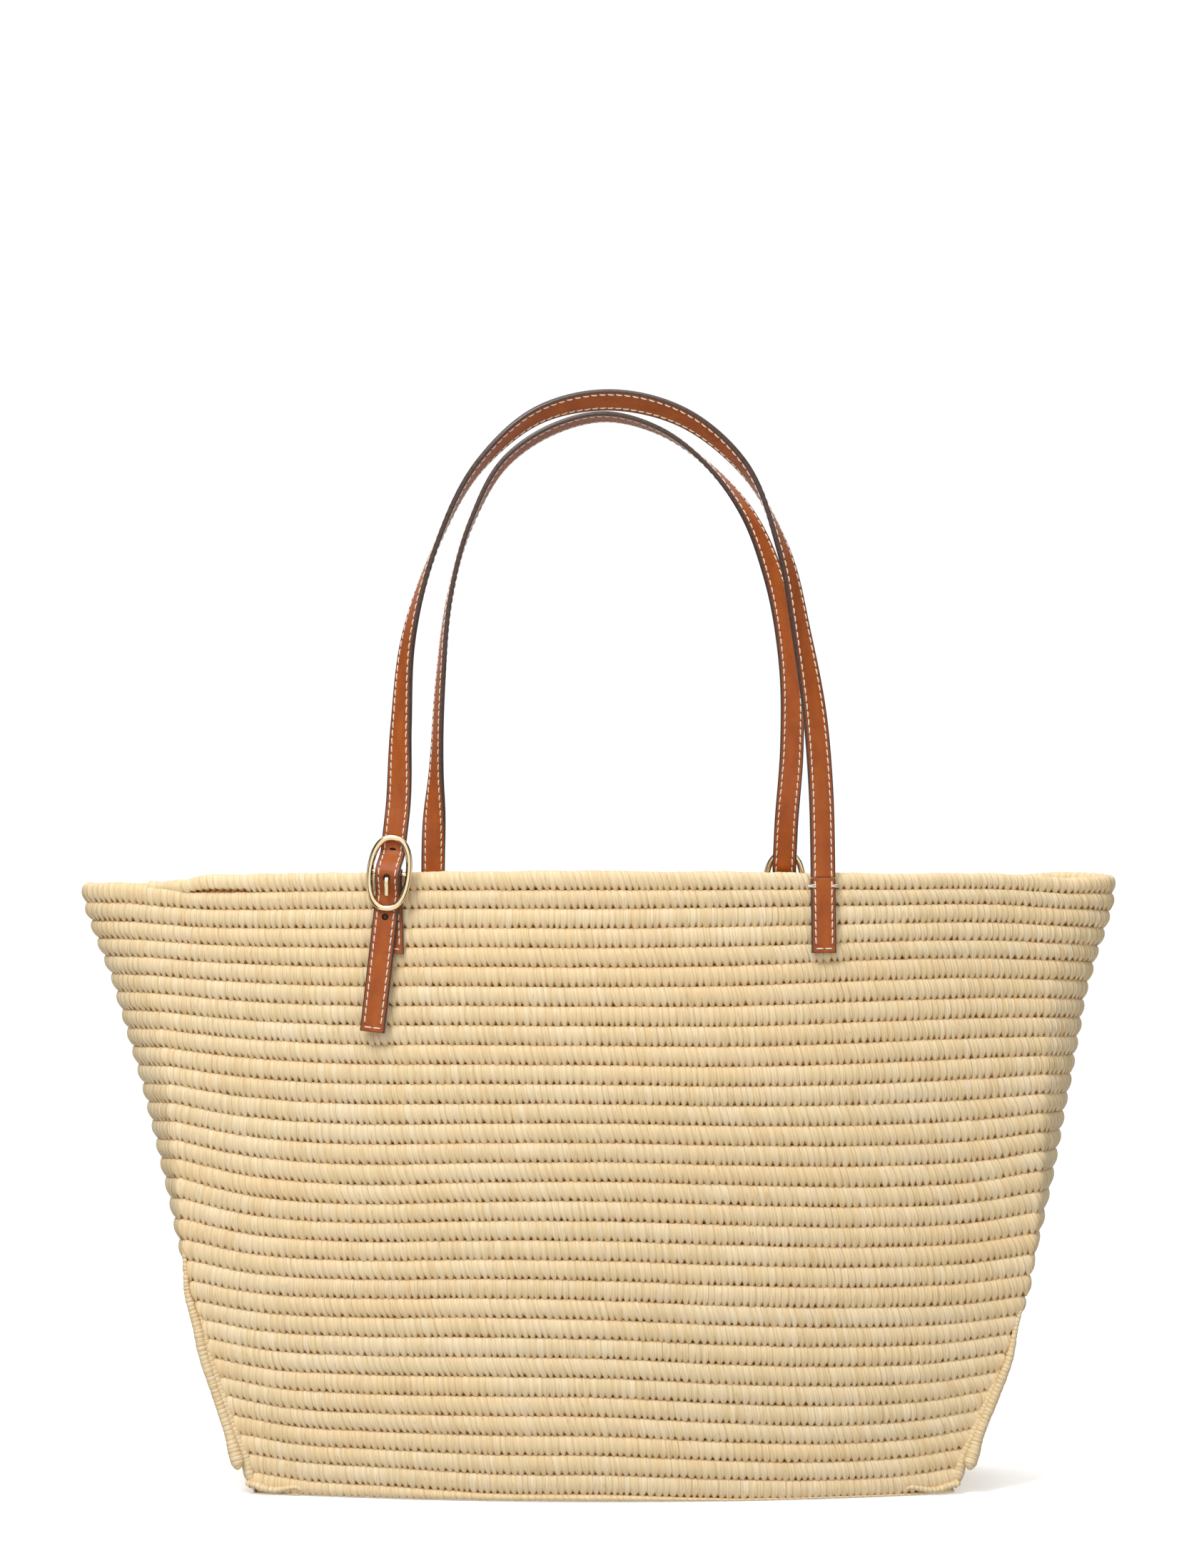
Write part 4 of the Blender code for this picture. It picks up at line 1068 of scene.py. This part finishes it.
def hole_cutter(place, up, out, radius, length=0.0, squeeze=1.0):
    """A cutter for a dark blind hole in the strap at a place in a foot frame, length longer than it is wide."""
    ring = []
    for step in range(20):
        angle = 2 * pi * step / 20
        stretch = length / 2 if sin(angle) > 0 else -length / 2
        ring.append((radius * cos(angle), up + radius * sin(angle) * squeeze + stretch))
    heights = (out + STRAP_THICKNESS / 2 - HOLE_DEPTH, out + 0.006)
    grid = np.array([[list(place @ Vector((x, y, z))) for x, y in ring] for z in heights])
    return quad_mesh("hole_cutter", grid)


def punch(obj, cutters, inside):
    """Cuts holes whose walls have the inside material, and keeps the result as the mesh."""
    for cutter in cutters:
        cutter.data.materials.append(inside)
        modifier = obj.modifiers.new("Hole", "BOOLEAN")
        modifier.operation = "DIFFERENCE"
        modifier.object = cutter
        modifier.solver = "EXACT"
    bpy.context.view_layer.update()
    graph = bpy.context.evaluated_depsgraph_get()
    cut = obj.evaluated_get(graph)
    mesh = bpy.data.meshes.new_from_object(cut, preserve_all_data_layers=True, depsgraph=graph)
    obj.modifiers.clear()
    obj.data = mesh
    for cutter in cutters:
        bpy.data.objects.remove(cutter, do_unlink=True)


def build_ring(handle, place, gold):
    """The oval ring, half round outside and flat behind, with its bar."""
    steps = 160
    t = 2 * pi * (np.arange(steps) + 0.5) / steps
    half_w = RING_WIDTH / 2 - RING_SECTION_RADIUS
    x = signed_power(np.cos(t), 2 / RING_SQUARENESS) * half_w
    y = signed_power(np.sin(t), 2 / RING_SQUARENESS) * (RING_HEIGHT / 2 - RING_SECTION_RADIUS)
    centre = np.stack([x, y, np.full(steps, RING_MIDDLE)], -1)
    ahead = unit(np.roll(centre, -1, 0) - np.roll(centre, 1, 0))
    out = np.stack([ahead[:, 1], -ahead[:, 0], np.zeros(steps)], -1)
    ring = []
    for step in range(20):
        angle = 2 * pi * step / 20
        wide = cos(angle) * RING_SECTION_RADIUS
        tall = sin(angle) * RING_SECTION_RADIUS * (1.0 if sin(angle) > 0 else 0.72)
        ring.append(centre + out * wide + np.array([0, 0, tall]))
    obj = quad_mesh(f"{handle['name']}_buckle_ring_visual", np.stack(ring, 1), closed=True)
    bar_ring = [RING_BAR_RADIUS * np.array((cos(a), sin(a))) for a in np.linspace(0, 2 * pi, 16, endpoint=False)]
    bar_grid = [[(along, y, RING_MIDDLE + z) for y, z in bar_ring] for along in np.linspace(-half_w, half_w, 9)]
    bar = quad_mesh(f"{handle['name']}_buckle_bar", np.array(bar_grid))
    for made in (obj, bar):
        made.data.transform(place)
        dress(turn_side(made, handle), "brass", f"{handle['name']}_buckle", gold)
    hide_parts(f"{handle['name']}_buckle_ring")


def build_prong(handle, place, gold):
    """The prong: an eye round the bar and a flat tongue with a rounded tip."""
    inner = RING_BAR_RADIUS + 0.0001
    outer = RING_BAR_RADIUS + CLEARANCE + 0.0013
    face_tip = TAIL_MIDDLE + STRAP_THICKNESS / 2 + 0.0009 + PRONG_LIFT
    path = [
        (-0.0016, RING_MIDDLE + (inner + outer) / 2),
        (-0.0028, blend(RING_MIDDLE + outer, OVER_BAR, 0.80)),
        (-0.0048, OVER_BAR + 0.0006),
        (-0.0080, blend(OVER_BAR, face_tip, 0.35)),
        (-PRONG_LENGTH, face_tip),
    ]
    samples = spline([Vector(point) for point in path], 0.0003)
    s, centres, axes, normals = resampled(*foot_line(place, samples), 0.0003)
    from_tip = s[-1] - s
    width = PRONG_WIDTH / 2 * np.sqrt(np.clip(1 - (1 - np.clip(from_tip / 0.0013, 0, 1)) ** 2, 0.03, 1))
    thick = 0.0009 * np.sqrt(np.clip(1 - (1 - np.clip(from_tip / 0.0006, 0, 1)) ** 2, 0.1, 1))
    grid = []
    for angle in np.linspace(0, 2 * pi, 20, endpoint=False):
        wide = signed_power(cos(angle), 0.6)
        tall = signed_power(sin(angle), 0.6)
        grid.append(centres + axes * (wide * width)[:, None] + normals * (tall * thick)[:, None])
    tongue = quad_mesh(f"{handle['name']}_prong_tongue", np.stack(grid, 1))
    eye_grid = []
    for angle in np.linspace(0, 2 * pi, 40, endpoint=False):
        ring = []
        for a in np.linspace(0, 2 * pi, 12, endpoint=False):
            radius = (inner + outer) / 2 + (outer - inner) / 2 * cos(a)
            point = Vector((sin(a) * PRONG_WIDTH / 2, radius * cos(angle), RING_MIDDLE + radius * sin(angle)))
            ring.append(tuple(place @ point))
        eye_grid.append(ring)
    eye = quad_mesh(f"{handle['name']}_prong_eye", np.array(eye_grid), closed=True)
    for made in (tongue, eye):
        dress(turn_side(made, handle), "brass", f"{handle['name']}_prong", gold)
    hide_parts(f"{handle['name']}_prong")


def build_strap(handle, buckle_place, plain_place, spacing, looks):
    """The strap from its tail through the buckle and over the top to the plain flex: it bends above the buckle."""
    name = handle["name"]
    tail = foot_line(buckle_place, tail_path())
    arch = arch_line(handle, buckle_place, plain_place)
    line = resampled(*(list(low) + list(high) for low, high in zip(tail, arch)), spacing)
    strap = strap_mesh(f"{name}_strap", line, STRAP_THICKNESS, looks)
    holes = [
        hole_cutter(buckle_place, -0.0042, OVER_BAR, 0.0020, length=0.0030),
        hole_cutter(buckle_place, -0.0246, TAIL_MIDDLE, 0.0019),
        hole_cutter(buckle_place, 0.0135, TAIL_MIDDLE, 0.0019, squeeze=0.35),
    ]
    punch(strap, holes, looks["edge"])
    frames = stitch_frames(line, STRAP_THICKNESS, sides=(1, -1))
    stitching = stitches_mesh(f"{name}_strap_stitching", frames, looks)
    for made, slot in ((strap, "leather"), (stitching, "thread")):
        turn_side(made, handle)
        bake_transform(made)
    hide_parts(f"{name}_strap_tail", f"{name}_strap_outer_leather", f"{name}_strap_lining")


def sewn_to_wall(handle, name, line, thickness, looks, stop=None):
    """A stitched piece of strap that stays on the basket, in the place of the CAD solid with its name."""
    piece = strap_mesh(f"{name}_visual", line, thickness, looks)
    stitching = stitches_mesh(f"{name}_stitching", stitch_frames(line, thickness, stop=stop), looks)
    for made, slot in ((piece, "leather"), (stitching, "thread")):
        dress(turn_side(made, handle), slot, "basket")
    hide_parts(name)


def build_buckle_tab(handle, place, looks):
    """The short tab sewn to the wall, its top wrapped round the bar and its end hanging a little straighter."""
    path = [(-TAB_LENGTH, TAB_MIDDLE), (-TAB_LENGTH / 2, TAB_MIDDLE), (-0.014, TAB_MIDDLE), (-0.010, TAB_MIDDLE)]
    path.append((-0.0055, blend(TAB_MIDDLE, RING_MIDDLE - LOOP_RADIUS, 0.45)))
    path.append((-0.0024, blend(TAB_MIDDLE, RING_MIDDLE - LOOP_RADIUS, 0.86)))
    for degrees in np.linspace(-90, 130, 17):
        angle = radians(degrees)
        path.append((LOOP_RADIUS * cos(angle), RING_MIDDLE + LOOP_RADIUS * sin(angle)))
    centres, axes, normals = foot_line(place, path)
    sideways = place.to_3x3() @ Vector((radians(handle["buckle_lean"] * 1.4), 0, 0))
    centres = [centre + sideways * max(0.0, -up - 0.008) for centre, (up, _) in zip(centres, path)]
    line = resampled(centres, axes, normals, 0.0005)
    sewn_to_wall(handle, f"{handle['name']}_buckle_tab", line, TAB_THICKNESS, looks, stop=0.036)


def build_tacks(handle, place, looks):
    """Two crossed threads at each edge of the sewn end, just under the flex."""
    frames = []
    across, rise, outward = (place.to_3x3() @ Vector(axis) for axis in ((1, 0, 0), (0, 1, 0), (0, 0, 1)))
    out = WALL_CLEARANCE + STRAP_THICKNESS * 0.80
    for sign in (-1, 1):
        for up, tilt in ((0.0006, 5), (-0.0003, -5)):
            at = place @ Vector((sign * (STRAP_WIDTH / 2 - 0.0004), up - FLEX_GAP - 0.0012, out))
            turned = Matrix.Rotation(radians(tilt), 3, outward) @ Matrix.Rotation(radians(sign * 24), 3, rise)
            frames.append((at, turned @ across * 1.2, turned @ rise, turned @ outward))
    tacks = stitches_mesh(f"{handle['name']}_thread_tacks", frames, looks)
    dress(turn_side(tacks, handle), "thread", "basket")
    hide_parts(f"{handle['name']}_thread_tack_left", f"{handle['name']}_thread_tack_right")


def build_handle(handle, looks):
    """One strap with its two fixings."""
    buckle_place = foot_frame(handle, handle["buckle_x"], handle["bar_z"], -handle["buckle_lean"])
    plain_place = foot_frame(handle, handle["plain_x"], handle["plain_z"], 0.0)
    spacing = 0.0009 * 1
    build_strap(handle, buckle_place, plain_place, spacing, looks)
    sewn_path = [(up, SEWN_MIDDLE) for up in (-SEWN_END_LENGTH, -SEWN_END_LENGTH / 2, -0.004, 0.0008)]
    sewn_line = resampled(*foot_line(plain_place, sewn_path), spacing)
    sewn_to_wall(handle, f"{handle['name']}_sewn_end", sewn_line, STRAP_THICKNESS, looks)
    build_buckle_tab(handle, buckle_place, looks)
    build_tacks(handle, plain_place, looks)
    build_ring(handle, buckle_place, looks["gold"])
    build_prong(handle, buckle_place, looks["gold"])


# ---------------------------------------------------------------- studio

def new_in_scene(name, data):
    obj = bpy.data.objects.new(name, data)
    bpy.context.scene.collection.objects.link(obj)
    return obj


def build_camera():
    data = bpy.data.cameras.new("camera")
    data.lens = FOCAL_MM
    data.sensor_width = 36.0
    data.clip_end = 50.0
    camera = new_in_scene("camera", data)
    camera.location = (CAMERA_X, -CAMERA_DISTANCE, CAMERA_HEIGHT)
    camera.rotation_euler = (radians(90), 0, 0)
    bpy.context.scene.camera = camera


def build_floor():
    """A wide white floor that glows a little, so that it stays white to the horizon."""
    mesh = bpy.data.meshes.new("floor")
    half = 12.0
    mesh.from_pydata([(-half, -half, 0), (half, -half, 0), (half, half, 0), (-half, half, 0)], [], [(0, 1, 2, 3)])
    floor = new_in_scene("floor", mesh)
    floor.location.z = -0.0004
    n = Nodes(bpy.data.materials.new("studio_floor"))
    speckle = n.noise(n.node("ShaderNodeTexCoord").outputs["Object"], (3, 3, 3))
    n.link(n.mix(speckle, (0.96, 0.96, 0.96), (0.98, 0.98, 0.98)), n.shader.inputs["Base Color"])
    n.set("Roughness", 0.9)
    n.set("Specular IOR Level", 0.0)
    n.set("Emission Color", (1.0, 1.0, 1.0, 1.0))
    n.set("Emission Strength", 0.30)
    mesh.materials.append(n.owner)
    floor.visible_diffuse = False
    floor.visible_glossy = False


def build_world():
    """Even white light from all round, dimmer from below and from two dark flags at the sides."""
    n = Nodes(bpy.data.worlds.new("studio"))
    split = n.node("ShaderNodeSeparateXYZ")
    n.link(n.node("ShaderNodeTexCoord").outputs["Generated"], split.inputs[0])
    flag = n.node("ShaderNodeValToRGB")
    for place, shade in ((0.58, 1.0), (0.66, 0.08), (0.92, 0.08)):
        flag.color_ramp.elements.new(place).color = (shade, shade, shade, 1.0)
    flag.color_ramp.elements[0].color = (1.0, 1.0, 1.0, 1.0)
    n.link(n.math("ABSOLUTE", split.outputs["X"]), flag.inputs["Fac"])
    height = n.spread(split.outputs["Z"], -0.50, -0.05, 0.85, 1.0)
    n.link(n.math("MULTIPLY", height, flag.outputs["Color"]), n.shader.inputs["Color"])
    n.set("Strength", 1.06)
    bpy.context.scene.world = n.owner


def build_lamps():
    for name, place, size, power in (
        ("key", (-0.9, -1.5, 2.4), 1.0, 44.0),
        ("top", (0.0, 0.2, 2.6), 1.6, 10.0),
    ):
        light = bpy.data.lights.new(name, "AREA")
        light.size = size
        light.energy = power
        lamp = new_in_scene(name, light)
        lamp.location = place
        aim = Vector((0, 0, 0.25)) - Vector(place)
        lamp.rotation_euler = aim.to_track_quat("-Z", "Y").to_euler()


# ---------------------------------------------------------------- the object

LEAF_LIGHT = (0.84, 0.680, 0.425)
LEAF_DARK = (0.76, 0.580, 0.325)

# The third colour is the brown of crease lines, specks and gaps, and the painted shade in the grooves where the
# rounds meet
straw = straw_material("coiled_palm_leaf", LEAF_LIGHT, LEAF_DARK, (0.400, 0.165, 0.028))
binding = straw_material("palm_leaf_binding", LEAF_LIGHT, LEAF_DARK, (0.26, 0.14, 0.045))
looks = {
    "leather": leather_material("tan_leather", (0.42, 0.096, 0.009), (0.32, 0.064, 0.006)),
    "edge": edge_material(),
    "thread": thread_material(),
    "gold": gold_material(),
}

build_coil(straw)
build_base(straw)
build_piping(binding)
build_ears(binding)
for handle in HANDLES:
    build_handle(handle, looks)
build_camera()
build_floor()
build_world()
build_lamps()
bpy.context.scene.view_settings.view_transform = "Standard"
